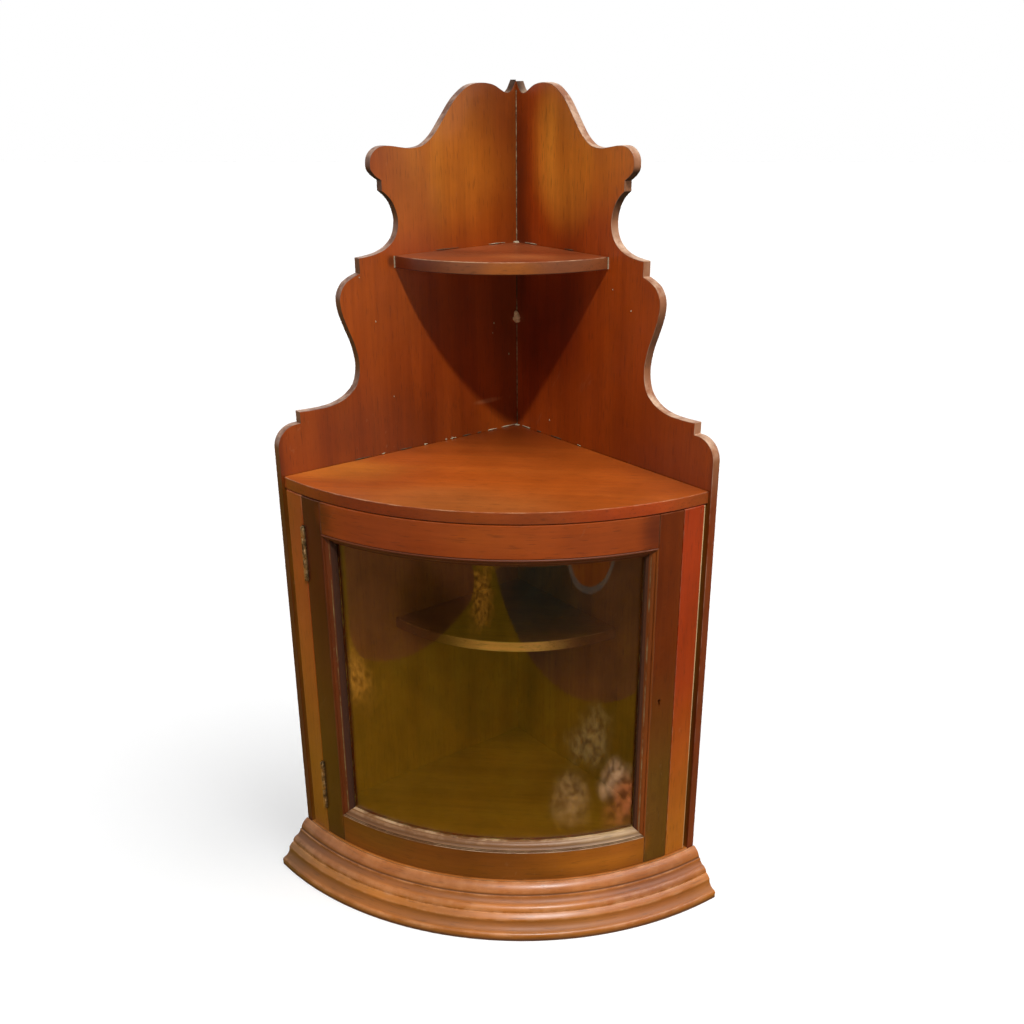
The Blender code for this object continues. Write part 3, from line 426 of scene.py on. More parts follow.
def round_arrises(bm, width):
    """Rounds every sharp edge, and marks the roundings as worn, which also paints their sheen."""
    wear_and_sheen = bm.verts.layers.float.new("wear_and_sheen")
    sharp = [
        edge for edge in bm.edges
        if len(edge.link_faces) == 2 and edge.calc_face_angle(0) > SMOOTH_ANGLE
    ]
    made = bmesh.ops.bevel(
        bm, geom=sharp, offset=width, segments=ARRIS_STEPS, profile=0.5, affect="EDGES",
        material=-1, clamp_overlap=True,
    )
    rounded = set(made["faces"])
    for vert in {v for face in rounded for v in face.verts}:
        if all(face in rounded for face in vert.link_faces):
            vert[wear_and_sheen] = 1.0


def wobble(bm, reach, pitch):
    """Moves points by a little along their normals, as hand work and age do."""
    bm.normal_update()
    for vert in bm.verts:
        vert.co += vert.normal * reach * noise.noise(vert.co / pitch)


def new_piece(name, bm, materials):
    mesh = bpy.data.meshes.new(name)
    bm.to_mesh(mesh)
    bm.free()
    obj = bpy.data.objects.new(name, mesh)
    bpy.context.scene.collection.objects.link(obj)
    for material in materials:
        mesh.materials.append(material)
    return obj


def settle(obj):
    """Works an object's modifiers into its mesh."""
    bpy.context.view_layer.update()
    graph = bpy.context.evaluated_depsgraph_get()
    mesh = bpy.data.meshes.new_from_object(
        obj.evaluated_get(graph), preserve_all_data_layers=True, depsgraph=graph
    )
    obj.modifiers.clear()
    obj.data = mesh


def shade(obj):
    """Smooth across small angles, with flat faces kept flat right up to their roundings."""
    obj.data.shade_smooth()
    obj.data.set_sharp_from_angle(angle=SMOOTH_ANGLE)
    weighted = obj.modifiers.new("flat_faces", "WEIGHTED_NORMAL")
    weighted.keep_sharp = True
    settle(obj)


def cut(obj, *cutters):
    """Cuts each of these meshes out of the object."""
    helpers = []
    for bm in cutters:
        helper = new_piece("cutter", bm, [])
        helpers.append(helper)
        modifier = obj.modifiers.new("cut", "BOOLEAN")
        modifier.object = helper
        modifier.solver = "EXACT"
    settle(obj)
    for helper in helpers:
        bpy.data.objects.remove(helper)


def block(low, high, place):
    """A box between two corners of a local frame."""
    low, high = Vector(low), Vector(high)
    bm = bmesh.new()
    bmesh.ops.create_cube(bm, size=1)
    bmesh.ops.scale(bm, vec=high - low, verts=bm.verts)
    bmesh.ops.translate(bm, vec=(low + high) / 2, verts=bm.verts)
    bm.transform(place)
    return bm


def rod(radius, low, high, place):
    bm = bmesh.new()
    bmesh.ops.create_cone(
        bm, cap_ends=True, segments=ROUND_STEPS, radius1=radius, radius2=radius, depth=high - low
    )
    bmesh.ops.translate(bm, vec=(0, 0, (low + high) / 2), verts=bm.verts)
    bm.transform(place)
    return bm


# Grain: each wooden piece holds its own board's directions in an attribute, as metres
# along the grain, across it and through the board


def points_of(mesh):
    flat = np.empty(len(mesh.vertices) * 3, np.float32)
    mesh.vertices.foreach_get("co", flat)
    return flat.reshape(-1, 3).astype(float)


def write_attribute(mesh, name, kind, values):
    if name in mesh.attributes:
        mesh.attributes.remove(mesh.attributes[name])
    layer = mesh.attributes.new(name, kind, "POINT")
    field = "vector" if kind == "FLOAT_VECTOR" else "value"
    layer.data.foreach_set(field, np.asarray(values, np.float32).ravel())


def straight_grain(along, across):
    """Grain that runs straight in one direction of the room."""
    along, across = Vector(along).normalized(), Vector(across).normalized()
    axes = np.array([along, across, along.cross(across)])
    return lambda points: points @ axes.T


def bowed(points):
    """Metres round the bow, height and radius of each point."""
    angle = np.arctan2(points[:, 0], BOW_Y - points[:, 1])
    radius = np.hypot(points[:, 0], points[:, 1] - BOW_Y)
    return angle * FACE_RADIUS, points[:, 2], radius


def grain_round_bow(points):
    along, height, radius = bowed(points)
    return np.stack([along, height, radius], 1)


def grain_up_bow(points):
    across, height, radius = bowed(points)
    return np.stack([height, across, radius], 1)


def lay_grain(obj, directions, seed):
    """Writes the grain, shifted by the seed so that no two boards are alike."""
    shift = random.Random(seed)
    offset = np.array([shift.uniform(-1, 1) for _ in range(3)])
    write_attribute(obj.data, "grain", "FLOAT_VECTOR", directions(points_of(obj.data)) + offset)


def section_marks(obj, section, soft, wear_and_sheen=1.0, rim=0.0):
    """Marks a moulding's crests as worn and its hollows as grimy, from how the section turns.

    soft is how far each mark spreads. Points within the radius rim, or close to the ground,
    are grimy too. The worn crests' pale tone also paints their highlights, and the grime
    paints shade in the hollows and shadow within the rim and by the ground.
    """
    turns = []
    ring = [Vector(point) for point in section]
    for before, here, after in zip([ring[-1], *ring], ring, [*ring[1:], ring[0]]):
        arriving, leaving = here - before, after - here
        straight = arriving.length == 0 or leaving.length == 0
        turns.append(0.0 if straight else -arriving.angle_signed(leaving))
    turns = np.array(turns) * (-1 if sum(turns) < 0 else 1)
    _, height, radius = bowed(points_of(obj.data))
    here = np.stack([radius, height], 1)
    apart = ((here[:, None, :] - np.array(section)[None]) ** 2).sum(2)
    weight = np.exp(-apart / (2 * soft**2))
    bend = (weight * turns).sum(1) / (weight.sum(1) + 1e-9) * MARK_STRENGTH
    outside = (radius > rim) & (height > FOOT_SHADOW_AND_DIRT)
    write_attribute(obj.data, "wear_and_sheen", "FLOAT", np.clip(bend, 0, 1) * wear_and_sheen * outside)
    write_attribute(obj.data, "grime_and_shade", "FLOAT", np.where(outside, np.clip(-bend, 0, 1), 1.0))


# Materials


class Graph:
    """The nodes of a material, or of the world, made one after another."""

    def __init__(self, name, owner=None):
        self.material = owner or bpy.data.materials.new(name)
        self.material.use_nodes = True
        self.tree = self.material.node_tree
        self.shader = self.tree.nodes.get("Principled BSDF")

    def put(self, socket, value):
        if isinstance(value, bpy.types.NodeSocket):
            self.tree.links.new(value, socket)
        elif isinstance(value, tuple) and len(value) == 3 and socket.type == "RGBA":
            socket.default_value = (*value, 1)
        else:
            socket.default_value = value

    def node(self, kind, inputs=(), **settings):
        made = self.tree.nodes.new("ShaderNode" + kind)
        for name, value in settings.items():
            setattr(made, name, value)
        for name, value in dict(inputs).items():
            self.put(made.inputs[name], value)
        return made

    def attribute(self, name, output="Fac"):
        return self.node("Attribute", attribute_name=name).outputs[output]

    def place(self):
        return self.node("TexCoord").outputs["Object"]

    def stretched(self, vector, scale):
        return self.node("Mapping", {"Vector": vector, "Scale": scale}).outputs["Vector"]

    def noise(self, vector, scale, detail=3.0, rough=0.55, output="Fac"):
        values = {"Vector": vector, "Scale": scale, "Detail": detail, "Roughness": rough}
        return self.node("TexNoise", values).outputs[output]

    def streaks(self, vector, scale, detail=1.0, rough=0.55, output="Fac"):
        """Noise with its own scale along each axis."""
        return self.noise(self.stretched(vector, scale), 1.0, detail, rough, output)

    def sum(self, kind, *values):
        made = self.node("Math", operation=kind)
        for socket, value in zip(made.inputs, values):
            self.put(socket, value)
        return made.outputs[0]

    def times(self, first, second):
        return self.sum("MULTIPLY", first, second)

    def vectors(self, kind, *values, output=0):
        made = self.node("VectorMath", operation=kind)
        for socket, value in zip(made.inputs, values):
            self.put(socket, value)
        return made.outputs[output]

    def ranged(self, value, low, high, new_low=0.0, new_high=1.0, **settings):
        made = self.node("MapRange", {
            "Value": value, "From Min": low, "From Max": high,
            "To Min": new_low, "To Max": new_high,
        }, **settings)
        return made.outputs[0]

    def mix(self, share, first, second, blend="MIX"):
        made = self.node("Mix", data_type="RGBA", blend_type=blend)
        for index, value in ((0, share), (6, first), (7, second)):
            self.put(made.inputs[index], value)
        return made.outputs[2]

    def ramp(self, value, *stops):
        made = self.node("ValToRGB", {"Fac": value})
        elements = made.color_ramp.elements
        while len(elements) < len(stops):
            elements.new(1)
        for element, (place, colour) in zip(elements, stops):
            element.position = place
            element.color = (*colour, 1)
        return made.outputs["Color"]

    def shaded(self, colour, level):
        grey = self.node("CombineColor", {"Red": level, "Green": level, "Blue": level})
        return self.mix(1.0, colour, grey.outputs[0], "MULTIPLY")

    def swayed(self, vector, wave, reach):
        """The vector moved by up to half this reach, as a coloured noise says."""
        sway = self.vectors("SUBTRACT", wave, (0.5, 0.5, 0.5))
        return self.vectors("ADD", vector, self.vectors("MULTIPLY", sway, reach))

    def spot(self, middle, reach, share=1.0, ragged=0.5, scale=9.0):
        """A soft, slightly ragged ellipsoid: share at its middle and 0 at its reach."""
        wave = self.noise(self.place(), scale, 1.0, 0.5, "Color")
        here = self.swayed(self.place(), wave, tuple(ragged * size for size in reach))
        here = self.vectors("DIVIDE", self.vectors("SUBTRACT", here, middle), reach)
        far = self.vectors("LENGTH", here, output=1)
        return self.ranged(far, 0.25, 1.0, share, 0.0, interpolation_type="SMOOTHSTEP")

    def seen(self, *kinds):
        """1 where rays of these kinds arrive without a diffuse bounce before, and 0 elsewhere."""
        rays = self.node("LightPath").outputs
        found = rays[kinds[0]]
        for kind in kinds[1:]:
            found = self.sum("MAXIMUM", found, rays[kind])
        return self.times(found, self.sum("LESS_THAN", rays["Diffuse Depth"], 0.5))

    def mixed(self, share, first, second):
        """Two shaders mixed: the second by this share."""
        return self.node("MixShader", {0: share, 1: first.outputs[0], 2: second.outputs[0]})

    def surface(self, shader):
        output = "World Output" if self.shader is None else "Material Output"
        self.tree.links.new(shader.outputs[0], self.tree.nodes[output].inputs["Surface"])
        return self.material

    def bump(self, height, reach, normal=None):
        values = {"Height": height, "Distance": reach, "Strength": 1.0}
        if normal is not None:
            values["Normal"] = normal
        return self.node("Bump", values).outputs["Normal"]

    def finish(self, **values):
        for name, value in values.items():
            self.put(self.shader.inputs[name.replace("_", " ")], value)
        return self.material


# Pale tone of rubbed marks, also painted highlight; dark of pores, grime and painted shade
WORN_AND_SHEEN = (0.50, 0.27, 0.15)
GRIME_AND_SHADE = (0.020, 0.010, 0.005)


def varnished_wood(
    name, colour, pale_tone=WORN_AND_SHEEN, figure=1.0, gloss=0.285, wear_and_sheen_share=0.75, patches=(), lower=None,
    coat=0.2, dirt_and_shade=0.92, ior=1.46,
):
    """Mahogany under old varnish: ribbons, pores, blotches, fine scratches, rubbed arrises.

    Each patch is a soft spot of another colour: its middle, reach, colour and share. lower
    is another tone towards the foot: its colour, share, and the heights that it spans. The
    rubbed marks' pale tone is wear and also painted highlight on arrises and crests, and the
    grime is dirt and also painted shade in hollows, under arrises and at the foot.
    """
    graph = Graph(name)
    straight = graph.attribute("grain", "Vector")
    place = graph.place()
    wave = graph.streaks(straight, (4, 6, 6), output="Color")
    grain = graph.swayed(straight, wave, (0.02, 0.016, 0.016))
    if lower is not None:
        other, share, top, foot = lower
        height = graph.node("SeparateXYZ", {"Vector": place}).outputs["Z"]
        colour = graph.mix(graph.ranged(height, top, foot, 0.0, share), colour, other)
    for middle, reach, other, share in patches:
        colour = graph.mix(graph.spot(middle, reach, share), colour, other)
    ribbon = graph.ranged(graph.streaks(grain, (2.4, 26, 26), 3.0), 0.28, 0.74)
    tones = graph.ramp(
        ribbon,
        (0.0, (1 - 0.24 * figure, 1 - 0.32 * figure, 1 - 0.36 * figure)),
        (0.5, (1.0, 1.0, 1.0)),
        (1.0, (1 + 0.14 * figure, 1 + 0.26 * figure, 1 + 0.30 * figure)),
    )
    colour = graph.mix(1.0, colour, tones, "MULTIPLY")
    streak = graph.streaks(straight, (7, 240, 240), 3.0, 0.6)
    level = graph.ranged(streak, 0.3, 0.7, 1 - 0.09 * figure, 1 + 0.09 * figure)
    colour = graph.shaded(colour, level)
    blotch = graph.noise(place, 10.0, 5.0, 0.6)
    colour = graph.shaded(colour, graph.ranged(blotch, 0.3, 0.7, 0.82, 1.16))
    pores = graph.ranged(graph.streaks(straight, (60, 600, 600)), 0.60, 0.72)
    colour = graph.mix(graph.times(pores, 0.3), colour, GRIME_AND_SHADE)
    aslant = graph.node("Mapping", {"Vector": place, "Rotation": (0.5, 0.9, 0.7)})
    scuff = graph.streaks(aslant.outputs["Vector"], (7, 210, 210))
    region = graph.ranged(graph.noise(place, 9.0, 2.0), 0.52, 0.64)
    scuff = graph.times(graph.ranged(scuff, 0.69, 0.75), region)
    colour = graph.mix(graph.times(scuff, 0.12), colour, pale_tone)
    # Rubbed arrises and crests turn pale: wear, and painted highlight
    rubbed_and_sheen = graph.ranged(graph.noise(place, 42.0, 4.0, 0.65), 0.42, 0.62)
    rubbed_and_sheen = graph.times(graph.times(graph.attribute("wear_and_sheen"), rubbed_and_sheen), wear_and_sheen_share)
    colour = graph.mix(rubbed_and_sheen, colour, pale_tone)
    # Grimy places turn dark: dirt, and painted shade in hollows, under arrises and at the foot
    grime_and_shade = graph.attribute("grime_and_shade")
    colour = graph.mix(graph.times(grime_and_shade, dirt_and_shade), colour, GRIME_AND_SHADE)
    rough = graph.ranged(graph.noise(place, 19.0, 3.0), 0.3, 0.7, gloss, gloss + 0.11)
    for cause, effect in ((scuff, 0.08), (rubbed_and_sheen, 0.12), (grime_and_shade, 0.45)):
        rough = graph.sum("ADD", rough, graph.times(cause, effect))
    normal = graph.bump(graph.times(pores, -1.0), 0.00002)
    normal = graph.bump(graph.streaks(straight, (9, 34, 34)), 0.00007, normal)
    return graph.finish(
        Base_Color=colour, Roughness=rough, Normal=normal, IOR=ior,
        Coat_Weight=coat, Coat_Roughness=0.16,
    )


def dull_wood(name, pale, deep, pale_tone=(0.42, 0.28, 0.16)):
    """Wood without varnish: saw marks, dust and a few dark spots."""
    graph = Graph(name)
    grain = graph.attribute("grain", "Vector")
    place = graph.place()
    ribbon = graph.streaks(grain, (2.5, 60, 60), 4.0, 0.6)
    colour = graph.ramp(ribbon, (0.35, deep), (0.68, pale))
    dust = graph.ranged(graph.noise(place, 9.0, 5.0, 0.65), 0.42, 0.72)
    colour = graph.mix(graph.times(dust, 0.35), colour, pale_tone)
    stain = graph.ranged(graph.noise(place, 4.0, 2.0), 0.58, 0.70)
    colour = graph.mix(graph.times(stain, 0.4), colour, tuple(c * 0.4 for c in deep))
    normal = graph.bump(graph.streaks(grain, (620, 3, 3), 2.0), 0.0001)
    normal = graph.bump(ribbon, 0.0002, normal)
    return graph.finish(Base_Color=colour, Roughness=0.72, Normal=normal)


def aged_metal(name, bright, tarnish, spots, rough):
    graph = Graph(name)
    place = graph.place()
    cover = graph.ranged(graph.noise(place, 190.0, 5.0, 0.6), 0.38, 0.62)
    colour = graph.mix(cover, bright, tarnish)
    pit = graph.ranged(graph.noise(place, 620.0, 3.0), 0.60, 0.70)
    colour = graph.mix(pit, colour, spots)
    roughness = graph.ranged(cover, 0, 1, rough, rough + 0.28)
    normal = graph.bump(graph.noise(place, 420.0, 4.0), 0.00008)
    return graph.finish(Base_Color=colour, Metallic=1.0, Roughness=roughness, Normal=normal)


def old_glass(name, tint, shade_of):
    """Old glass with a thin film of dust. Light from lamps passes, so that the inside is lit."""
    graph = Graph(name)
    film = graph.ranged(graph.noise(graph.place(), 18.0, 5.0, 0.65), 0.35, 0.75)
    film = graph.mix(film, tint, tuple(c * 0.86 for c in tint))
    graph.finish(Base_Color=film, Roughness=0.0, Transmission_Weight=1.0, IOR=1.5)
    clear = graph.node("BsdfTransparent", {"Color": shade_of})
    lamp = graph.node("LightPath").outputs["Is Shadow Ray"]
    return graph.surface(graph.mixed(lamp, graph.shader, clear))


def putty(name, colour, dark_share=0.5, scale=900.0):
    graph = Graph(name)
    mottled = graph.noise(graph.place(), scale, 4.0)
    shades = graph.ramp(mottled, (0.35, tuple(c * dark_share for c in colour)), (0.65, colour))
    return graph.finish(Base_Color=shades, Roughness=0.8, Normal=graph.bump(mottled, 0.0003))


# Each board's colours, with a comment beside each patch that paints light and shade. Inside
# the cupboard the back boards take another tone
INSIDE = ((0.26, 0.105, 0.008), 1.0, 0.478, 0.470)
LEFT_BACK_WOOD = varnished_wood(
    "left_back_mahogany", (0.345, 0.058, 0.003), lower=INSIDE, patches=(
        # Golden patch high up: wood tone and painted highlight
        ((-0.05, 0.11, 0.79), (0.13, 0.13, 0.11), (0.53, 0.150, 0.012), 0.85),
        ((-0.012, 0.152, 0.835), (0.070, 0.070, 0.090), (0.20, 0.038, 0.004), 0.82),
        ((-0.105, 0.055, 0.745), (0.050, 0.050, 0.050), (0.42, 0.095, 0.006), 0.7),
        ((0.0, 0.164, 0.60), (0.045, 0.045, 0.30), (0.22, 0.036, 0.003), 0.6),
        # Darker low on the board: wood tone and painted shade
        ((-0.13, 0.03, 0.49), (0.20, 0.20, 0.11), (0.21, 0.037, 0.004), 0.85),
        ((-0.117, 0.047, 0.685), (0.006, 0.006, 0.009), (0.05, 0.015, 0.005), 0.7),
        ((-0.030, 0.134, 0.516), (0.024, 0.024, 0.004), (0.52, 0.22, 0.09), 0.5),
        ((-0.160, 0.004, 0.655), (0.050, 0.050, 0.060), (0.40, 0.072, 0.004), 0.6),
        ((-0.225, -0.061, 0.25), (0.017, 0.017, 0.60), (0.085, 0.011, 0.001), 0.98),
    ),
)
# Paler than the left board in part as painted light, since the lamps light it less
RIGHT_BACK_WOOD = varnished_wood(
    "right_back_mahogany", (0.435, 0.064, 0.003), lower=INSIDE, patches=(
        # Golden patch high up: wood tone and painted highlight
        ((0.055, 0.11, 0.785), (0.060, 0.060, 0.095), (0.88, 0.31, 0.030), 0.95),
        ((0.10, 0.065, 0.80), (0.12, 0.12, 0.09), (0.68, 0.185, 0.014), 0.75),
        ((0.0, 0.164, 0.72), (0.030, 0.030, 0.20), (0.15, 0.020, 0.001), 0.85),
        # Painted shadow: the small shelf's shadow on the right board
        ((0.045, 0.12, 0.60), (0.085, 0.085, 0.125), (0.16, 0.015, 0.001), 0.80),
        # Darker low on the board: wood tone and painted shade
        ((0.13, 0.03, 0.50), (0.20, 0.20, 0.13), (0.315, 0.051, 0.003), 0.85),
        ((0.225, -0.061, 0.25), (0.017, 0.017, 0.60), (0.16, 0.018, 0.001), 0.98),
    ),
)
DULLED = {"gloss": 0.4, "coat": 0.0}
FLOOR_WOOD = varnished_wood("cupboard_floor_mahogany", (0.20, 0.085, 0.008), **DULLED)
INNER_EDGE_WOOD = varnished_wood("inner_edge_mahogany", (0.16, 0.055, 0.010), **DULLED, patches=(
    # Painted light: pale patch on the inner shelf's front edge, lit through the pane
    ((0.015, -0.01, 0.275), (0.090, 0.06, 0.05), (0.98, 0.50, 0.17), 0.98),
))
EDGE = {"gloss": 0.34, "wear_and_sheen_share": 0.9, "coat": 0.0, "ior": 1.36}
# Edge tone, with painted shade on the left board's edges and painted light on the right's
LEFT_EDGE_SHADED_WOOD = varnished_wood(
    "left_edge_shaded_mahogany", (0.16, 0.055, 0.022), (0.56, 0.36, 0.26),
    lower=((0.075, 0.010, 0.001), 0.95, 0.53, 0.46), **EDGE,
)
RIGHT_EDGE_LIT_WOOD = varnished_wood(
    "right_edge_lit_mahogany", (0.36, 0.140, 0.062), (0.74, 0.50, 0.34),
    lower=((0.21, 0.028, 0.002), 0.95, 0.53, 0.46), **EDGE,
)
REAR_WOOD = dull_wood(
    "rear_mahogany", (0.24, 0.105, 0.045), (0.13, 0.048, 0.020), (0.34, 0.24, 0.16)
)
TOP_WOOD = varnished_wood("top_mahogany", (0.41, 0.080, 0.008), figure=0.8, patches=(
    ((-0.03, -0.125, 0.48), (0.17, 0.075, 0.05), (0.40, 0.118, 0.024), 0.65),
    # Painted shade: the top darkens towards the back corner
    ((0.0, 0.17, 0.48), (0.16, 0.16, 0.05), (0.125, 0.020, 0.002), 0.95),
    ((-0.17, -0.02, 0.48), (0.10, 0.06, 0.05), (0.55, 0.165, 0.016), 0.75),
))
TOP_EDGE_WOOD = varnished_wood(
    "top_edge_mahogany", (0.31, 0.056, 0.006), (0.62, 0.30, 0.14), patches=(
        ((-0.15, -0.13, 0.475), (0.14, 0.12, 0.05), (0.21, 0.026, 0.002), 0.95),
        ((0.16, -0.13, 0.475), (0.10, 0.08, 0.05), (0.46, 0.056, 0.005), 0.9),
    ),
)
SHELF_WOOD = varnished_wood("shelf_mahogany", (0.27, 0.060, 0.016), patches=(
    ((-0.06, 0.07, 0.69), (0.07, 0.04, 0.03), (0.13, 0.036, 0.014), 0.7),
    ((0.02, 0.05, 0.69), (0.05, 0.03, 0.03), (0.38, 0.105, 0.028), 0.7),
))
SHELF_EDGE_WOOD = varnished_wood(
    "shelf_edge_mahogany", (0.25, 0.072, 0.022), (0.72, 0.50, 0.30), wear_and_sheen_share=0.9, patches=(
        ((-0.09, 0.04, 0.68), (0.065, 0.06, 0.03), (0.14, 0.018, 0.003), 0.95),
        # Paler middle of the edge: wood tone and painted sheen
        ((0.01, 0.0, 0.68), (0.045, 0.05, 0.03), (0.40, 0.108, 0.012), 0.9),
    ),
)
RAIL = {"pale_tone": (0.34, 0.20, 0.11), "wear_and_sheen_share": 0.3, "coat": 0.0}
STILE = {**RAIL, "figure": 0.7, "ior": 1.38}
LEFT_STILE_WOOD = varnished_wood(
    "left_stile_mahogany", (0.066, 0.009, 0.002), **STILE,
    lower=((0.086, 0.034, 0.002), 0.95, 0.36, 0.17), patches=(
        ((-0.172, -0.10, 0.452), (0.012, 0.02, 0.020), (0.20, 0.032, 0.004), 0.8),
        ((-0.170, -0.10, 0.080), (0.012, 0.02, 0.020), (0.18, 0.054, 0.005), 0.7),
    ),
)
RIGHT_STILE_WOOD = varnished_wood(
    "right_stile_mahogany", (0.152, 0.023, 0.001), **STILE,
    lower=((0.103, 0.044, 0.004), 0.95, 0.30, 0.16), patches=(
        ((0.172, -0.10, 0.080), (0.014, 0.02, 0.022), (0.26, 0.075, 0.005), 0.8),
    ),
)
TOP_RAIL_WOOD = varnished_wood("top_rail_mahogany", (0.33, 0.052, 0.004), **RAIL, patches=(
    ((0.170, -0.10, 0.450), (0.026, 0.04, 0.04), (0.12, 0.018, 0.003), 0.9),
    ((-0.172, -0.10, 0.450), (0.020, 0.04, 0.04), (0.13, 0.020, 0.003), 0.85),
    ((0.02, -0.16, 0.450), (0.10, 0.05, 0.03), (0.39, 0.072, 0.006), 0.6),
))
BOTTOM_RAIL_WOOD = varnished_wood("bottom_rail_mahogany", (0.205, 0.054, 0.003), **RAIL, patches=(
    ((-0.13, -0.12, 0.08), (0.07, 0.05, 0.03), (0.185, 0.064, 0.003), 0.8),
    ((0.14, -0.12, 0.08), (0.10, 0.07, 0.04), (0.37, 0.105, 0.006), 0.9),
))
LEFT_POST_WOOD = varnished_wood(
    "left_post_mahogany", (0.35, 0.063, 0.009), figure=0.7,
    lower=((0.29, 0.096, 0.006), 0.95, 0.36, 0.14),
)
RIGHT_POST_WOOD = varnished_wood(
    "right_post_mahogany", (0.37, 0.032, 0.002), figure=0.7,
    lower=((0.38, 0.105, 0.007), 0.95, 0.27, 0.09),
)
RAW_ARRIS_WOOD = varnished_wood(
    "raw_arris_mahogany", (0.66, 0.44, 0.22), gloss=0.5,
    lower=((0.40, 0.16, 0.05), 0.85, 0.26, 0.16),
)
# On the plinth the pale rubbed crests also paint highlights, and grime shade in the hollows
PLINTH = {"pale_tone": (0.74, 0.37, 0.17), "wear_and_sheen_share": 0.5, "coat": 0.0, "dirt_and_shade": 0.75, "ior": 1.48}
# Painted shade: the plinth darkens towards both ends, away from the light on its middle
PLINTH_LEFT_SHADE = ((-0.26, -0.04, 0.02), (0.17, 0.18, 0.06))
PLINTH_RIGHT_SHADE = ((0.20, -0.13, 0.02), (0.10, 0.10, 0.05))
PLINTH_WOOD = varnished_wood("plinth_mahogany", (0.44, 0.140, 0.022), **PLINTH, patches=(
    (*PLINTH_LEFT_SHADE, (0.15, 0.060, 0.014), 0.9), (*PLINTH_RIGHT_SHADE, (0.25, 0.064, 0.014), 0.75),
))
PLINTH_BASE_WOOD = varnished_wood(
    "plinth_base_mahogany", (0.44, 0.142, 0.016), **PLINTH, patches=(
        (*PLINTH_LEFT_SHADE, (0.17, 0.070, 0.010), 0.9), (*PLINTH_RIGHT_SHADE, (0.34, 0.094, 0.014), 0.7),
    ),
)
# Top glazing dark, bottom pale: wood tone plus painted shade under the rail, painted light below
GLAZING = {"gloss": 0.42, "coat": 0.0, "ior": 1.38}
GLAZING_WOOD = varnished_wood(
    "glazing_mahogany", (0.115, 0.021, 0.002), (0.36, 0.33, 0.13), wear_and_sheen_share=0.9, **GLAZING
)
RIGHT_GLAZING_WOOD = varnished_wood(
    "right_glazing_mahogany", (0.210, 0.045, 0.003), (0.42, 0.36, 0.18), wear_and_sheen_share=0.6, **GLAZING
)
LOW_GLAZING_WOOD = varnished_wood(
    "low_glazing_mahogany", (0.19, 0.078, 0.020), (0.58, 0.38, 0.22), gloss=0.34, coat=0.0,
    patches=(((0.15, -0.12, 0.115), (0.09, 0.08, 0.04), (0.52, 0.36, 0.19), 0.85),),
)
BARE_WOOD = dull_wood("bare_pine", (0.56, 0.38, 0.20), (0.36, 0.21, 0.10))
BRASS = aged_metal(
    "tarnished_brass", (0.38, 0.25, 0.12), (0.085, 0.054, 0.024), (0.02, 0.022, 0.012), 0.42
)
STEEL = aged_metal("dull_steel", (0.36, 0.34, 0.32), (0.16, 0.13, 0.11), (0.12, 0.05, 0.025), 0.38)
PANE = old_glass("old_glass", (0.95, 0.90, 0.66), (0.40, 0.35, 0.155))
FILLER = putty("dried_filler", (0.62, 0.52, 0.34))
# The chip is as pale as colour goes: bare wood, with painted light that it catches
CHIP = putty("bare_chip", (1.0, 0.76, 0.42), 0.8)
CORNER_GLUE = putty("corner_glue", (0.50, 0.38, 0.22), 0.14, 190.0)
# Dark glue in the joints, which also paints the shade there
DARK_GLUE_AND_SHADE = putty("dark_glue_and_shade", (0.11, 0.065, 0.028))


def add_to(obj, body, node, slot):
    """Finishes a piece that moves with its body and stands for this node."""
    shade(obj)
    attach(obj, body)
    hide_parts(node)


def wooden(node, bm, materials, directions, seed):
    """A wooden piece in the place of a node, with its grain laid."""
    obj = new_piece(f"{node}_shown", bm, materials)
    lay_grain(obj, directions, seed)
    return obj


def add_board(node, body, outline, low, high, wood, directions, slot="frame_wood"):
    """A plain board with rounded arrises, in the place of a node."""
    bm = slab(outline, low, high)
    round_arrises(bm, FRAME_ARRIS)
    add_to(wooden(node, bm, [wood], directions, node), body, node, slot)


# Carcass


def mark_scroll_edge(bm, outward, bare_below):
    """A back board's edge is rubbed where it faces up and grimy where it faces down.

    Beside the cupboard only the left board's rear arris is rubbed. The paler upward faces also
    paint light from above, the grimy downward ones painted shade, and near the crest's tip by
    the corner the upward faces are darkened too.
    """
    wear_and_sheen = bm.verts.layers.float["wear_and_sheen"]
    grime_and_shade = bm.verts.layers.float.new("grime_and_shade")
    for vert in bm.verts:
        if any(face.material_index != 1 for face in vert.link_faces):
            continue
        lift = vert.normal.z
        if vert.co.z > TOP_HEIGHT:
            vert[wear_and_sheen] = max(vert[wear_and_sheen] * 0.7, min(1, max(0, lift) * 1.3))
        else:
            vert[wear_and_sheen] = float(bare_below and vert.normal.dot(outward) > 0.35)
        near_tip = 1 - math.dist(vert.co.xy, (0, CORNER_Y)) / TIP_DARK
        vert[grime_and_shade] = min(1, max(0, -lift * 1.6, near_tip * 1.5 if lift > 0.1 else 0))


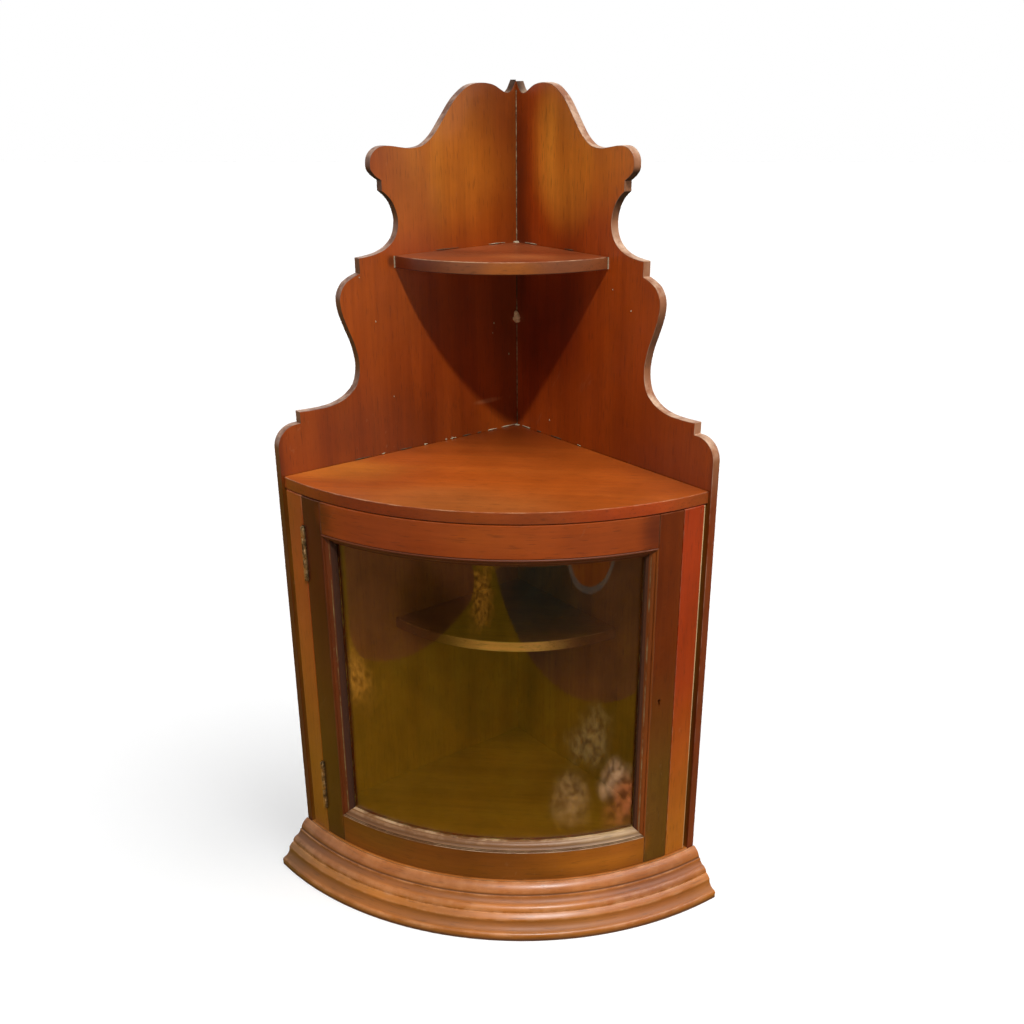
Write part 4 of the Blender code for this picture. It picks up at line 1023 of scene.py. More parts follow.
def back_boards():
    """Each board's scroll-cut edge is paler than its faces, and its rear has no varnish."""
    edge = scroll_edge()
    left_end = [(SEAT_GAP, edge[-1][1]), (SEAT_GAP, 0)]
    tip = [scroll_point(*share) for share in TIP_SHARES]
    right_end = tip[:-1] + [(-BACK_THICK, tip[-1][1]), (-BACK_THICK, 0)]
    for side, word, end, wood, edge_wood in (
        (LEFT, "left", left_end, LEFT_BACK_WOOD, LEFT_EDGE_SHADED_WOOD),
        (RIGHT, "right", right_end, RIGHT_BACK_WOOD, RIGHT_EDGE_LIT_WOOD),
    ):
        node = f"back_board_{word}"
        outline = [(BACK_WIDTH, 0), *edge[:-1], *end]
        bm = slab(outline, -BACK_THICK / 2, BACK_THICK / 2)
        bm.transform(wall_place(side, 0, BACK_THICK / 2, 0))
        bmesh.ops.recalc_face_normals(bm, faces=bm.faces)
        outward = Vector((side * ROOT_HALF, ROOT_HALF, 0))
        round_arrises(bm, BOARD_ARRIS)
        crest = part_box(node)[1].z
        for vert in bm.verts:
            vert.co.z = min(vert.co.z, crest)
        bm.normal_update()
        for face in bm.faces:
            facing = face.normal.dot(outward)
            face.material_index = 0 if facing < -FLAT else 2 if facing > FLAT else 1
        mark_scroll_edge(bm, outward, bare_below=side == LEFT)
        obj = wooden(
            node, bm, [wood, edge_wood, REAR_WOOD],
            straight_grain(UP, (side * ROOT_HALF, -ROOT_HALF, 0)), word,
        )
        add_to(obj, "carcass", node, "back_wood")


def corner_boards():
    """The main top, the cupboard's floor and the two shelves, each with its own front edge."""
    across = straight_grain((1, 0, 0), (0, 1, 0))
    inner = shelf_outline(INNER_SHELF_LENGTH, INNER_SHELF_DEPTH)
    small = shelf_outline(SMALL_SHELF_LENGTH, SMALL_SHELF_DEPTH, SMALL_SHELF_SKEW)
    top = bowed_board_outline(FACE_RADIUS - TOP_SETBACK)
    bottom = bowed_board_outline(DOOR_BACK_RADIUS - STOP_GAP)
    for node, outline, wood, edge_wood, slot in (
        ("top_board", top, TOP_WOOD, TOP_EDGE_WOOD, "top_wood"),
        ("bottom_board", bottom, FLOOR_WOOD, FLOOR_WOOD, "back_wood"),
        ("inner_shelf", inner, FLOOR_WOOD, INNER_EDGE_WOOD, "top_wood"),
        ("small_shelf", small, SHELF_WOOD, SHELF_EDGE_WOOD, "top_wood"),
    ):
        low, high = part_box(node)
        bm = slab(outline, low.z, high.z)
        round_arrises(bm, BOARD_ARRIS)
        bm.normal_update()
        wear_and_sheen = bm.verts.layers.float["wear_and_sheen"]
        grime_and_shade = bm.verts.layers.float.new("grime_and_shade")
        middle = (low.z + high.z) / 2
        # Arrises by the walls and under each board get dirt and painted shade instead of wear
        for vert in bm.verts:
            by_wall = CORNER_Y - vert.co.y - abs(vert.co.x) < 2 * BOARD_ARRIS / ROOT_HALF
            if vert[wear_and_sheen] and (by_wall or vert.co.z < middle):
                vert[wear_and_sheen], vert[grime_and_shade] = 0.0, 1.0
        for face in bm.faces:
            face.material_index = int(abs(face.normal.z) < LEVEL)
        add_to(wooden(node, bm, [wood, edge_wood], across, node), "carcass", node, slot)


def plinth():
    reach = MOULDING_BACK_RADIUS + PLINTH_REACH
    for word, shares, wood in (
        ("upper", UPPER_MOULDING_SHARES, PLINTH_WOOD),
        ("base", BASE_MOULDING_SHARES, PLINTH_BASE_WOOD),
    ):
        node = f"plinth_{word}_moulding"
        section = profile_from(shares, lambda out, up: (
            MOULDING_BACK_RADIUS + PLINTH_REACH * out, PLINTH_HEIGHT * up
        ))
        bm = swept(section, wall_angle(reach, 2 * BACK_THICK))
        for side in (LEFT, RIGHT):
            point = (*wall_point(side, BACK_WIDTH, BACK_THICK), 0)
            cut_square(bm, point, (side * ROOT_HALF, ROOT_HALF, 0))
        obj = wooden(node, bm, [wood], grain_round_bow, word)
        # Pale crests and dark hollows: wear and dirt, with painted highlight, shade and shadow
        section_marks(obj, section, 0.0008, rim=MOULDING_BACK_RADIUS + PLINTH_REACH * 0.01)
        add_to(obj, "carcass", node, "plinth_wood")


def bare_pieces():
    """The bowed rail and the blocks under the cupboard: plain softwood."""
    outer = MOULDING_BACK_RADIUS - SEAT_GAP
    inner = outer - PLINTH_RAIL_THICK
    outer_angle = wall_angle(outer, -SEAT_GAP)
    inner_angle = wall_angle(inner, -SEAT_GAP)
    rail = bow_arc(outer, -outer_angle, outer_angle) + bow_arc(inner, inner_angle, -inner_angle)
    block_radius = inner - SEAT_GAP
    meeting = wall_angle(block_radius, -SEAT_GAP)
    x, y = heel = bow_point(block_radius, meeting)
    toe = bow_point(block_radius, meeting - BLOCK_ANGLE)
    right_block = [toe, heel, (x - BLOCK_LENGTH * ROOT_HALF, y + BLOCK_LENGTH * ROOT_HALF)]
    corner = [
        wall_point(LEFT, CORNER_BLOCK, -SEAT_GAP), wall_point(RIGHT, CORNER_BLOCK, -SEAT_GAP),
        (0, CORNER_Y - SEAT_GAP / ROOT_HALF),
    ]
    upright = straight_grain(UP, (1, 0, 0))
    for node, outline, directions in (
        ("plinth_rail", rail, grain_round_bow), ("glue_block_right", right_block, upright),
        ("glue_block_left", mirrored(right_block), upright), ("corner_block", corner, upright),
    ):
        low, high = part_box(node)
        bm = slab(outline, low.z, high.z)
        round_arrises(bm, FRAME_ARRIS)
        if node == "plinth_rail":
            bm.normal_update()
            for face in bm.faces:
                face.material_index = int(face.normal.z > LIFTED)
        obj = wooden(node, bm, [BARE_WOOD, PLINTH_WOOD], directions, node)
        add_to(obj, "carcass", node, "raw_wood")


def leaf_sinking(side, height):
    """What a hinge leaf and the knuckle take out of a post or a stile."""
    place = bow_place(HINGE_ANGLE, HINGE_RADIUS, height)
    deep = side * (DOOR_GAP / 2 + LEAF_THICK + SEAT_GAP)
    near, far = sorted((-side * CUT_OVERRUN, deep))
    half = HINGE_LENGTH / 2 + SEAT_GAP
    groove_half = half + PIN_HEAD + KNUCKLE_CLEARANCE
    return (
        block((near, -CUT_OVERRUN, -half), (far, LEAF_WIDTH + SEAT_GAP, half), place),
        rod(KNUCKLE_RADIUS + KNUCKLE_CLEARANCE, -groove_half, groove_half, place),
    )


def leaf_sinkings(side):
    return [bm for height in hinge_heights() for bm in leaf_sinking(side, height)]


def hinge_heights():
    """The middles of the lower and the upper hinge."""
    pins = [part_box(f"hinge_{word}_pin") for word in ("lower", "upper")]
    return [sum(corner.z for corner in box) / 2 for box in pins]


def keyhole(place, near, far):
    """A round hole with a slot below it, between two depths from the door's face."""
    half_slot = KEYHOLE_SLOT_WIDTH / 2
    start = math.atan2(-math.sqrt(KEYHOLE_RADIUS**2 - half_slot**2), half_slot)
    sweep = math.pi - 2 * start
    outline = [(half_slot, -KEYHOLE_SLOT_DROP)]
    for i in range(ROUND_STEPS + 1):
        turn = start + sweep * i / ROUND_STEPS
        outline.append((KEYHOLE_RADIUS * math.cos(turn), KEYHOLE_RADIUS * math.sin(turn)))
    outline.append((-half_slot, -KEYHOLE_SLOT_DROP))
    bm = slab(outline, -(far - near) / 2, (far - near) / 2)
    here = place @ Matrix.Translation((-KEYHOLE_FROM_EDGE, (near + far) / 2, 0))
    bm.transform(here @ Matrix.Rotation(QUARTER_TURN, 4, "X"))
    bmesh.ops.recalc_face_normals(bm, faces=bm.faces)
    return bm


def mark_quirk(bm, radius):
    """The groove beside the back board is darkened: old dirt, and painted shade in the recess."""
    grime_and_shade = bm.verts.layers.float.new("grime_and_shade")
    for vert in bm.verts:
        out = math.hypot(vert.co.x, vert.co.y - BOW_Y)
        far = math.asin(abs(vert.co.x) / out) * FACE_RADIUS > DOOR_HALF_WIDTH + DOOR_STILE_WIDTH / 4
        vert[grime_and_shade] = 1.0 if far and out < radius else 0.0


def posts():
    """Two boards beside the door, whose outer front arris next to the quirk is bare."""
    wall_reach = wall_angle(FACE_RADIUS, -SEAT_GAP)
    quirk_angle = wall_reach - QUIRK_WIDTH / FACE_RADIUS
    quirk_radius = FACE_RADIUS - QUIRK_DEPTH
    strip_angle = quirk_angle - RAW_STRIP / FACE_RADIUS
    right = [
        *bow_arc(FACE_RADIUS, POST_ANGLE, strip_angle), bow_point(FACE_RADIUS, quirk_angle),
        bow_point(quirk_radius, quirk_angle),
        bow_point(quirk_radius, wall_angle(quirk_radius, -SEAT_GAP)),
        bow_point(DOOR_BACK_RADIUS, wall_angle(DOOR_BACK_RADIUS, -SEAT_GAP)),
        *bow_arc(DOOR_BACK_RADIUS, POST_ANGLE + QUIRK_WIDTH / FACE_RADIUS, POST_ANGLE),
    ]
    slack = 2 * BOLT_CLEARANCE
    half_thick, half_width = BOLT_THICK / 2 + slack, BOLT_WIDTH / 2 + slack
    for word, outline, wood in (
        ("left", mirrored(right), LEFT_POST_WOOD), ("right", right, RIGHT_POST_WOOD),
    ):
        node = f"post_{word}"
        low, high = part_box(node)
        bm = slab(outline, low.z, high.z)
        round_arrises(bm, FRAME_ARRIS)
        mark_quirk(bm, quirk_radius + SEAT_GAP)
        for face in bm.faces:
            spot = face.calc_center_median()
            out = math.hypot(spot.x, spot.y - BOW_Y)
            outside = math.asin(spot.x / out) > strip_angle and out > FACE_RADIUS - FRAME_ARRIS
            face.material_index = int(outside and abs(face.normal.z) < ROOT_HALF)
        obj = wooden(node, bm, [wood, RAW_ARRIS_WOOD], grain_up_bow, node)
        if word == "left":
            cut(obj, *leaf_sinkings(LEFT))
        else:
            cut(obj, block(
                (DOOR_GAP - CUT_OVERRUN, BOLT_MIDDLE - half_thick, -half_width),
                (BOLT_THROW + 2 * DOOR_GAP, BOLT_MIDDLE + half_thick, half_width),
                bow_place(DOOR_ANGLE, FACE_RADIUS, LOCK_HEIGHT),
            ))
        add_to(obj, "carcass", node, "frame_wood")


# Door


def door_stiles():
    """The left stile is sunk for the hinges and the right one for the lock."""
    place = bow_place(DOOR_ANGLE, FACE_RADIUS, LOCK_HEIGHT)
    half = LOCK_LENGTH / 2 + SEAT_GAP
    beyond = (CUT_OVERRUN, DOOR_THICK + CUT_OVERRUN, half)
    for side, word, wood in ((LEFT, "left", LEFT_STILE_WOOD), (RIGHT, "right", RIGHT_STILE_WOOD)):
        node = f"door_stile_{word}"
        outline = bow_sector(FACE_RADIUS, DOOR_BACK_RADIUS, side * SIGHT_ANGLE, side * DOOR_ANGLE)
        bm = slab(outline, DOOR_BOTTOM, DOOR_TOP)
        round_arrises(bm, FRAME_ARRIS)
        obj = wooden(node, bm, [wood], grain_up_bow, node)
        if side == LEFT:
            cut(obj, *leaf_sinkings(RIGHT))
        else:
            case = (-LOCK_WIDTH - SEAT_GAP, LOCK_FRONT - SEAT_GAP, -half)
            edge = (-SELVEDGE_THICK - SEAT_GAP, LOCK_BACK - SELVEDGE_WIDTH - SEAT_GAP, -half)
            hole = keyhole(place, -CUT_OVERRUN, LOCK_FRONT + CUT_OVERRUN / 4)
            cut(obj, block(case, beyond, place), block(edge, beyond, place), hole)
        add_to(obj, "door", node, "frame_wood")


def door_rails():
    shoulder = SIGHT_ANGLE - SEAT_GAP / FACE_RADIUS
    outline = bow_sector(FACE_RADIUS, DOOR_BACK_RADIUS, -shoulder, shoulder)
    for word, low, high, wood in (
        ("bottom", DOOR_BOTTOM, SIGHT_BOTTOM, BOTTOM_RAIL_WOOD),
        ("top", SIGHT_TOP, DOOR_TOP, TOP_RAIL_WOOD),
    ):
        add_board(f"door_rail_{word}", "door", outline, low, high, wood, grain_round_bow)


def side_marks(obj, corner, inward):
    """Marks an upright glazing's middle crest as rubbed and what lies behind it as grimy.

    The crest's pale tone also paints a highlight, and the grime behind it painted shade.
    """
    local = points_of(obj.data) - np.array(corner.translation)
    across = local @ np.array(corner.to_3x3() @ Vector((inward, 0, 0))) / GLAZING_WIDTH
    crest = np.exp(-((across - CREST_SHARE) / 0.03) ** 2)
    write_attribute(obj.data, "wear_and_sheen", "FLOAT", crest)
    write_attribute(obj.data, "grime_and_shade", "FLOAT", np.clip((across - CREST_SHARE) * 12 - 1, 0, 0.8))


def glazing():
    """The moulding round the glass, mitred at its corners."""
    opening_angle = SIGHT_ANGLE - SEAT_GAP / FACE_RADIUS
    low, high = SIGHT_BOTTOM + SEAT_GAP, SIGHT_TOP - SEAT_GAP
    mitre_gap = SEAT_GAP / 2
    # The bottom glazing's pale crests also paint highlights; the top one, under the rail, has none
    for word, edge, inward, wood, wear_and_sheen in (
        ("bottom", low, 1, LOW_GLAZING_WOOD, 1.0), ("top", high, -1, GLAZING_WOOD, 0.0),
    ):
        section = profile_from(GLAZING_SHARES, lambda across, deep: (
            FACE_RADIUS - GLAZING_DEPTH * deep, edge + inward * GLAZING_WIDTH * across
        ))
        bm = swept(section, SIGHT_ANGLE)
        for side in (LEFT, RIGHT):
            corner = bow_place(side * opening_angle, FACE_RADIUS, edge)
            point = corner @ Vector((-side * mitre_gap, 0, 0))
            cut_square(bm, point, corner.to_3x3() @ Vector((side, 0, inward)))
        obj = wooden(f"glazing_{word}", bm, [wood], grain_round_bow, word)
        section_marks(obj, section, 0.0005, wear_and_sheen)
        add_to(obj, "door", f"glazing_{word}", "frame_wood")
    for side, word, wood in ((LEFT, "left", GLAZING_WOOD), (RIGHT, "right", RIGHT_GLAZING_WOOD)):
        corner = bow_place(side * opening_angle, FACE_RADIUS, 0)
        section = profile_from(GLAZING_SHARES, lambda across, deep: (
            -side * GLAZING_WIDTH * across, GLAZING_DEPTH * deep
        ))
        bm = slab(section, low, high)
        bm.transform(corner)
        bmesh.ops.recalc_face_normals(bm, faces=bm.faces)
        for edge, inward in ((low, 1), (high, -1)):
            point = corner @ Vector((0, 0, edge + inward * mitre_gap))
            cut_square(bm, point, corner.to_3x3() @ Vector((-side, 0, -inward)))
        obj = wooden(f"glazing_{word}", bm, [wood], grain_up_bow, word)
        side_marks(obj, corner, -side)
        add_to(obj, "door", f"glazing_{word}", "frame_wood")


def pane_and_beads():
    pane_angle = (SIGHT_HALF_WIDTH - GLASS_EDGE) / FACE_RADIUS
    outline = bow_sector(GLASS_RADIUS, GLASS_BACK_RADIUS, -pane_angle, pane_angle)
    bm = slab(outline, SIGHT_BOTTOM + GLASS_EDGE, SIGHT_TOP - GLASS_EDGE)
    slice_up(bm, GLASS_WAVE / 6)
    wobble(bm, GLASS_WAVE_DEPTH, GLASS_WAVE)
    add_to(new_piece("glass_pane_shown", bm, [PANE]), "door", "glass_pane", "glass")
    opening_angle = SIGHT_ANGLE - SEAT_GAP / FACE_RADIUS
    bead_inner = opening_angle - BEAD_WIDTH / FACE_RADIUS
    low, high = SIGHT_BOTTOM + SEAT_GAP, SIGHT_TOP - SEAT_GAP
    between = (low + BEAD_WIDTH + SEAT_GAP, high - BEAD_WIDTH - SEAT_GAP)
    for word, first, last, heights, directions in (
        ("bottom", -opening_angle, opening_angle, (low, low + BEAD_WIDTH), grain_round_bow),
        ("top", -opening_angle, opening_angle, (high - BEAD_WIDTH, high), grain_round_bow),
        ("left", -bead_inner, -opening_angle, between, grain_up_bow),
        ("right", bead_inner, opening_angle, between, grain_up_bow),
    ):
        outline = bow_sector(BEAD_RADIUS, DOOR_BACK_RADIUS, first, last)
        add_board(f"bead_{word}", "door", outline, *heights, GLAZING_WOOD, directions)


# Metal


def fine_copy(node, material, body, slot):
    """A node's mesh with its seams closed and its round faces smooth."""
    bm = bmesh.new()
    bm.from_mesh(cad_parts[node].data)
    bmesh.ops.remove_doubles(bm, verts=bm.verts, dist=SEAT_GAP / 30)
    obj = new_piece(f"{node}_shown", bm, [material])
    add_to(obj, body, node, slot)
    return obj


def slotted(obj, place, reach, seed):
    """Cuts a driver's slot into a screw head. Local Z of place points out of the head."""
    turn = Matrix.Rotation(random.Random(seed).uniform(0, math.pi), 4, "Z")
    cut(obj, block((-reach, -SLOT_HALF, -SLOT_DEPTH), (reach, SLOT_HALF, SLOT_DEPTH), place @ turn))


def screw_head(name, place, material, body):
    obj = new_piece(name, rod(HEAD_RADIUS, -HEAD_SUNK, HEAD_PROUD, place), [material])
    slotted(obj, place @ Matrix.Translation((0, 0, HEAD_PROUD)), 2 * HEAD_RADIUS, name)
    shade(obj)
    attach(obj, body)


def facing(place, spot, turn, axis):
    """A frame at a spot of another one, turned about one of its axes."""
    return place @ Matrix.Translation(spot) @ Matrix.Rotation(turn, 4, axis)


def screw_heads():
    """The screws of the hinge leaves and of the lock, which show when the door is open."""
    for word, height in zip(("lower", "upper"), hinge_heights()):
        place = bow_place(HINGE_ANGLE, HINGE_RADIUS, height)
        for side, leaf, body in ((LEFT, "frame", "carcass"), (RIGHT, "door", "door")):
            for i, (inward, up) in enumerate(HINGE_SCREW_SHARES, 1):
                spot = (side * DOOR_GAP / 2, LEAF_WIDTH * inward, HINGE_LENGTH * up)
                head = facing(place, spot, -side * QUARTER_TURN, "Y")
                screw_head(f"hinge_{word}_{leaf}_screw_{i}", head, BRASS, body)
    place = bow_place(DOOR_ANGLE, FACE_RADIUS, LOCK_HEIGHT)
    for i, up in enumerate(LOCK_SCREW_SHARES, 1):
        spot = (0, LOCK_BACK - SELVEDGE_WIDTH / 2, LOCK_LENGTH * up)
        edge = facing(place, spot, QUARTER_TURN, "Y")
        screw_head(f"lock_edge_screw_{i}", edge, STEEL, "door")
        spot = (-LOCK_WIDTH * LOCK_SCREW_ACROSS, LOCK_BACK, LOCK_LENGTH * up)
        rear = facing(place, spot, -QUARTER_TURN, "X")
        screw_head(f"lock_rear_screw_{i}", rear, STEEL, "door")


def metalwork():
    """The hinges, the lock and the wood screws at the rear."""
    for node, body in (
        ("hinge_lower_frame_leaf", "carcass"), ("hinge_upper_frame_leaf", "carcass"),
        ("hinge_lower_pin", "carcass"), ("hinge_upper_pin", "carcass"),
        ("hinge_lower_door_leaf", "door"), ("hinge_upper_door_leaf", "door"),
        ("lock_bolt", "bolt"),
    ):
        fine_copy(node, BRASS, body, "brass")
    fine_copy("lock_case", STEEL, "door", "steel")
    for node in sorted(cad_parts):
        if "_screw_" not in node:
            continue
        obj = fine_copy(node, STEEL, "carcass", "steel")
        side = LEFT if "_left_" in node else RIGHT
        outward = Vector((side * ROOT_HALF, ROOT_HALF, 0))
        points = points_of(obj.data)
        reach = points @ np.array(outward)
        rim = points[reach > reach.max() - SEAT_GAP / 3]
        turn = outward.to_track_quat("Z", "X").to_matrix().to_4x4()
        radius = np.abs(rim[:, 2] - rim[:, 2].mean()).max()
        slotted(obj, Matrix.Translation(rim.mean(0)) @ turn, radius * 1.2, node)
    screw_heads()


# Old glue, filler and chips; the dark glue is also painted shade in the joints


def add_small(name, bm, material, smooth=True):
    """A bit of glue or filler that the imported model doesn't have."""
    obj = new_piece(name, bm, [material])
    if smooth:
        obj.data.shade_smooth()
    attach(obj, "carcass")


def dab(name, place, size, material):
    """A small lump that sits on a surface, half sunk in it."""
    bm = bmesh.new()
    bmesh.ops.create_icosphere(bm, subdivisions=3, radius=1)
    bmesh.ops.scale(bm, vec=size, verts=bm.verts)
    wobble(bm, min(size) * 0.7, max(size) * 0.8)
    bm.transform(place)
    add_small(name, bm, material)


def bead(name, low, high, width, material):
    """An uneven line of glue in the corner between the back boards."""
    outline = [wall_point(LEFT, width, 0), wall_point(RIGHT, width, 0), (0, CORNER_Y)]
    bm = slab(outline, low, high)
    slice_up(bm, BEAD_PITCH)
    wobble(bm, width * 0.8, BEAD_PITCH * 3)
    add_small(name, bm, material)


def glue_and_filler():
    shelf_low, shelf_high = (corner.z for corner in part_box("small_shelf"))
    crest = TOP_HEIGHT + GALLERY_RISE
    bead("glue_line_upper", shelf_high + SEAT_GAP, crest - 0.010, 0.0007, CORNER_GLUE)
    bead("glue_line_lower", TOP_HEIGHT + SEAT_GAP, shelf_low - 0.050, 0.0007, CORNER_GLUE)
    bead("glue_line_shade", shelf_low - 0.049, shelf_low - SEAT_GAP, 0.0008, DARK_GLUE_AND_SHADE)
    for side, word, strokes in ((LEFT, "left", LEFT_STROKES), (RIGHT, "right", RIGHT_STROKES)):
        for i, (along, height, half_length, half_width, pale) in enumerate(strokes, 1):
            place = wall_place(side, along, 0, height)
            size = (half_length, half_width, STROKE_HALF_THICK)
            dab(f"stroke_{word}_{i}", place, size, FILLER if pale else DARK_GLUE_AND_SHADE)
    for name, ahead, height, size, material in (
        ("corner_chip", 0.0030, 0.6085, (0.0036, 0.0030, 0.0058), CHIP),
        ("corner_chip_foot", 0.0034, 0.6050, (0.0044, 0.0034, 0.0036), CHIP),
        ("shelf_chip", 0.0022, shelf_high, (0.0040, 0.0024, 0.0014), FILLER),
        ("top_chip", 0.0024, TOP_HEIGHT, (0.0036, 0.0026, 0.0014), FILLER),
    ):
        dab(name, Matrix.Translation((0, CORNER_Y - ahead, height)), size, material)
    high = shelf_high - shelf_low - 0.0004
    for side, word in ((LEFT, "left"), (RIGHT, "right")):
        place = wall_place(side, SMALL_SHELF_LENGTH - side * SMALL_SHELF_SKEW, 0, shelf_low)
        bm = block((-0.0004, 0.0006, -0.0011), (0.0007, high, 0.0011), place)
        add_small(f"shelf_filler_{word}", bm, FILLER, smooth=False)


# Room

CAMERA_PLACE = (0.1600, CORNER_Y - 1.3142, 0.8599)
CAMERA_ANGLES = (7.741, -23.599, -0.53)
CAMERA_LENS = 40.309
CAMERA_SHIFT = (0.00857, 0.06346)

# Suns: azimuth from the front towards +X, elevation and spread in degrees, and level
KEY_SUN = (17, 53, 2.5, 0.745)
FILL_SUN = (80, 60, 40, 0.42)
WORLD_FILL = 0.105

FLOOR_HALF = 12
FLOOR_SEEN = (0.92, 0.92, 0.92)
FLOOR_BOUNCES = (0.36, 0.35, 0.33)
FLOOR_GLOW = 0.11

# Cards lie in layers, this far apart. The soft ones: middle, reach, layer and colour
CARD_STEP = 0.0005
SOFT_CARDS = (
    ("amber_card", (-0.62, -0.27), (0.15, 0.11), 1.5, (1.55, 0.68, 0.090)),
    ("tan_card", (-0.14, -0.96), (0.12, 0.20), 1.5, (1.15, 0.48, 0.060)),
    ("grey_green_card", (0.33, -0.39), (0.12, 0.10), 2, (0.95, 0.62, 0.22)),
    ("pink_card", (0.325, -0.255), (0.070, 0.060), 3, (2.30, 1.35, 0.75)),
    ("rose_card", (0.308, -0.188), (0.090, 0.064), 4, (2.10, 0.62, 0.22)),
    ("beige_card", (0.190, -0.300), (0.075, 0.080), 3, (1.25, 0.76, 0.32)),
)


def set_camera():
    """At the photograph's viewing angle."""
    yaw, pitch, roll = (math.radians(angle) for angle in CAMERA_ANGLES)
    ahead = math.cos(pitch)
    forward = Vector((-math.sin(yaw) * ahead, math.cos(yaw) * ahead, math.sin(pitch)))
    level = Vector((math.cos(yaw), math.sin(yaw), 0))
    upward = level.cross(forward)
    right = math.cos(roll) * level + math.sin(roll) * upward
    upward = math.cos(roll) * upward - math.sin(roll) * level
    data = bpy.data.cameras.new("camera")
    data.lens = CAMERA_LENS
    data.shift_x, data.shift_y = CAMERA_SHIFT
    camera = bpy.data.objects.new("camera", data)
    turn = Matrix((right, upward, -forward)).transposed().to_4x4()
    camera.matrix_world = Matrix.Translation(CAMERA_PLACE) @ turn
    bpy.context.scene.collection.objects.link(camera)
    bpy.context.scene.camera = camera


def add_sun(name, azimuth, elevation, spread, level):
    """Light from a large distance. level is what a white face towards it renders at."""
    turn, lift = math.radians(azimuth), math.radians(elevation)
    along = math.cos(lift)
    out = Vector((math.sin(turn) * along, -math.cos(turn) * along, math.sin(lift)))
    data = bpy.data.lights.new(name, "SUN")
    data.energy = level * math.pi
    data.angle = math.radians(spread)
    data.cycles.use_multiple_importance_sampling = False
    lamp = bpy.data.objects.new(name, data)
    lamp.matrix_world = out.to_track_quat("Z", "Y").to_matrix().to_4x4()
    bpy.context.scene.collection.objects.link(lamp)


def set_world(fill):
    """White where it is seen, also in reflections, and a soft fill everywhere else."""
    world = bpy.data.worlds.new("room")
    bpy.context.scene.world = world
    graph = Graph("room", world)
    seen = graph.seen("Is Camera Ray", "Is Glossy Ray", "Is Transmission Ray")
    strength = graph.ranged(seen, 0, 1, fill, 1.0)
    graph.surface(graph.node("Background", {"Color": (1, 1, 1), "Strength": strength}))


def add_floor():
    """A pale floor that is seen as white, with the cabinet's shadow on it."""
    bm = bmesh.new()
    bmesh.ops.create_grid(bm, x_segments=1, y_segments=1, size=FLOOR_HALF)
    graph = Graph("pale_floor")
    seen = graph.seen("Is Camera Ray", "Is Transmission Ray")
    matt = graph.node("BsdfDiffuse", {"Color": graph.mix(seen, FLOOR_BOUNCES, FLOOR_SEEN)})
    glow = graph.node("Emission", {"Color": (1, 1, 1), "Strength": graph.times(seen, FLOOR_GLOW)})
    both = graph.node("AddShader", {0: matt.outputs[0], 1: glow.outputs[0]})
    floor = new_piece("floor", bm, [graph.surface(both)])
    floor.location.z = -SEAT_GAP


def ellipse(middle, reach):
    bm = bmesh.new()
    bmesh.ops.create_circle(bm, cap_ends=True, segments=96, radius=1)
    bmesh.ops.scale(bm, vec=(*reach, 1), verts=bm.verts)
    bmesh.ops.translate(bm, vec=(*middle, 0), verts=bm.verts)
    return bm


def rounded(corners, radius):
    """A flat shape with these corners, each rounded."""
    bm = bmesh.new()
    bm.faces.new([bm.verts.new((*corner, 0)) for corner in corners])
    bmesh.ops.bevel(
        bm, geom=bm.verts, offset=radius, segments=12, profile=0.5, affect="VERTICES", material=-1
    )
    return bm


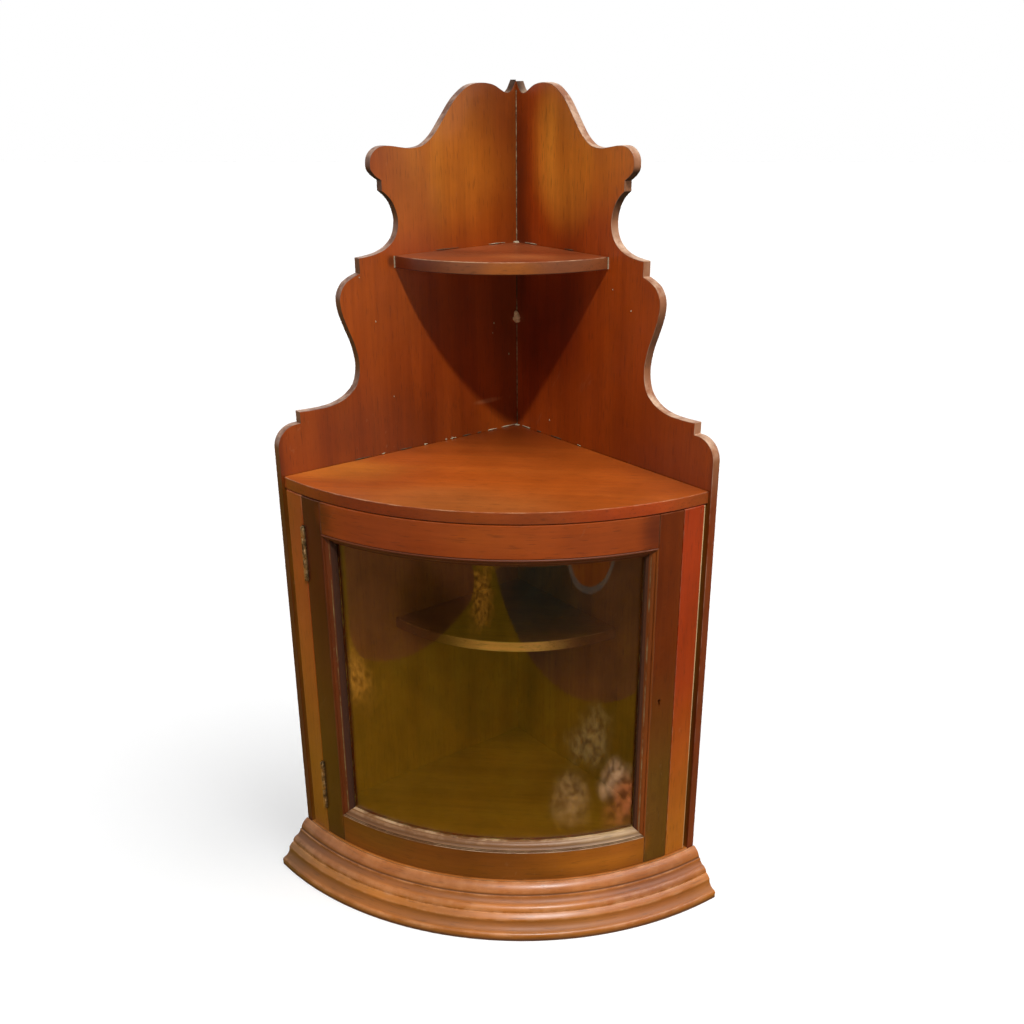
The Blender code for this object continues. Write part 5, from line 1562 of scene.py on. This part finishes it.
def add_card(name, bm, layer, colour, soft=None, patch=None):
    """A backdrop that only reflections show: the dim room in front of the cabinet.

    What is reflected by the pane's rear has gone through glass, so it arrives third or later.
    Rays that only pass through clear glass count as glossy too, and they are left out.
    soft is the middle and reach of a card without a hard edge, and patch the middle, reach
    and colour of a soft spot on a card.
    """
    bmesh.ops.translate(bm, vec=(0, 0, CARD_STEP * layer), verts=bm.verts)
    graph = Graph(name)
    mottled = graph.ranged(graph.noise(graph.place(), 5.0, 5.0, 0.6), 0.3, 0.7, 0.75, 1.25)
    rays = graph.node("LightPath").outputs
    share = graph.sum("SUBTRACT", rays["Is Glossy Ray"], rays["Is Transmission Ray"])
    share = graph.sum("MAXIMUM", share, graph.sum("GREATER_THAN", rays["Ray Depth"], 2.5))
    share = graph.times(share, graph.sum("LESS_THAN", rays["Diffuse Depth"], 0.5))
    if soft is not None:
        middle, reach = soft
        share = graph.times(share, graph.spot((*middle, 0), (*reach, 1), 1.0, 0.8, 14.0))
        mottled = graph.ranged(graph.noise(graph.place(), 45.0, 1.0), 0.35, 0.65, 0.4, 1.6)
    if patch is not None:
        middle, reach, other = patch
        colour = graph.mix(graph.spot((*middle, 0), (*reach, 1)), colour, other)
    glow = graph.node("Emission", {"Color": colour, "Strength": mottled})
    both = graph.mixed(share, graph.node("BsdfTransparent"), glow)
    card = new_piece(name, bm, [graph.surface(both)])
    card.visible_camera = card.visible_diffuse = card.visible_shadow = False


def cards():
    """What the pane and the varnish reflect."""
    olive = ellipse((0, 0), (5, 5))
    add_card("olive_card", olive, 1, (0.47, 0.27, 0.018))
    brown = rounded(((-0.70, -0.265), (-0.165, -0.985), (-0.72, -1.83), (-2.10, -0.74)), 0.10)
    shade = ((-0.46, -0.81), (0.36, 0.24), (0.130, 0.048, 0.022))
    add_card("brown_card", brown, 2, (0.44, 0.150, 0.062), patch=shade)
    dark = ellipse((1.53, -1.73), (1.70, 1.70))
    shade = ((0.30, -0.97), (0.52, 0.44), (0.080, 0.090, 0.066))
    add_card("dark_card", dark, 2, (0.33, 0.135, 0.070), patch=shade)
    ring = ellipse((0.73, -0.95), (0.215, 0.19))
    add_card("pale_ring_card", ring, 3, (0.40, 0.33, 0.28))
    disc = ellipse((0.735, -0.955), (0.190, 0.168))
    add_card("red_card", disc, 4, (0.72, 0.17, 0.045))
    for name, middle, reach, layer, colour in SOFT_CARDS:
        add_card(name, ellipse(middle, reach), layer, colour, (middle, reach))


def room():
    set_camera()
    add_sun("key", *KEY_SUN)
    add_sun("fill", *FILL_SUN)
    set_world(WORLD_FILL)
    add_floor()
    cards()
    bpy.context.scene.view_settings.view_transform = "Standard"


back_boards()
corner_boards()
plinth()
bare_pieces()
posts()
door_stiles()
door_rails()
glazing()
pane_and_beads()
metalwork()
glue_and_filler()
room()
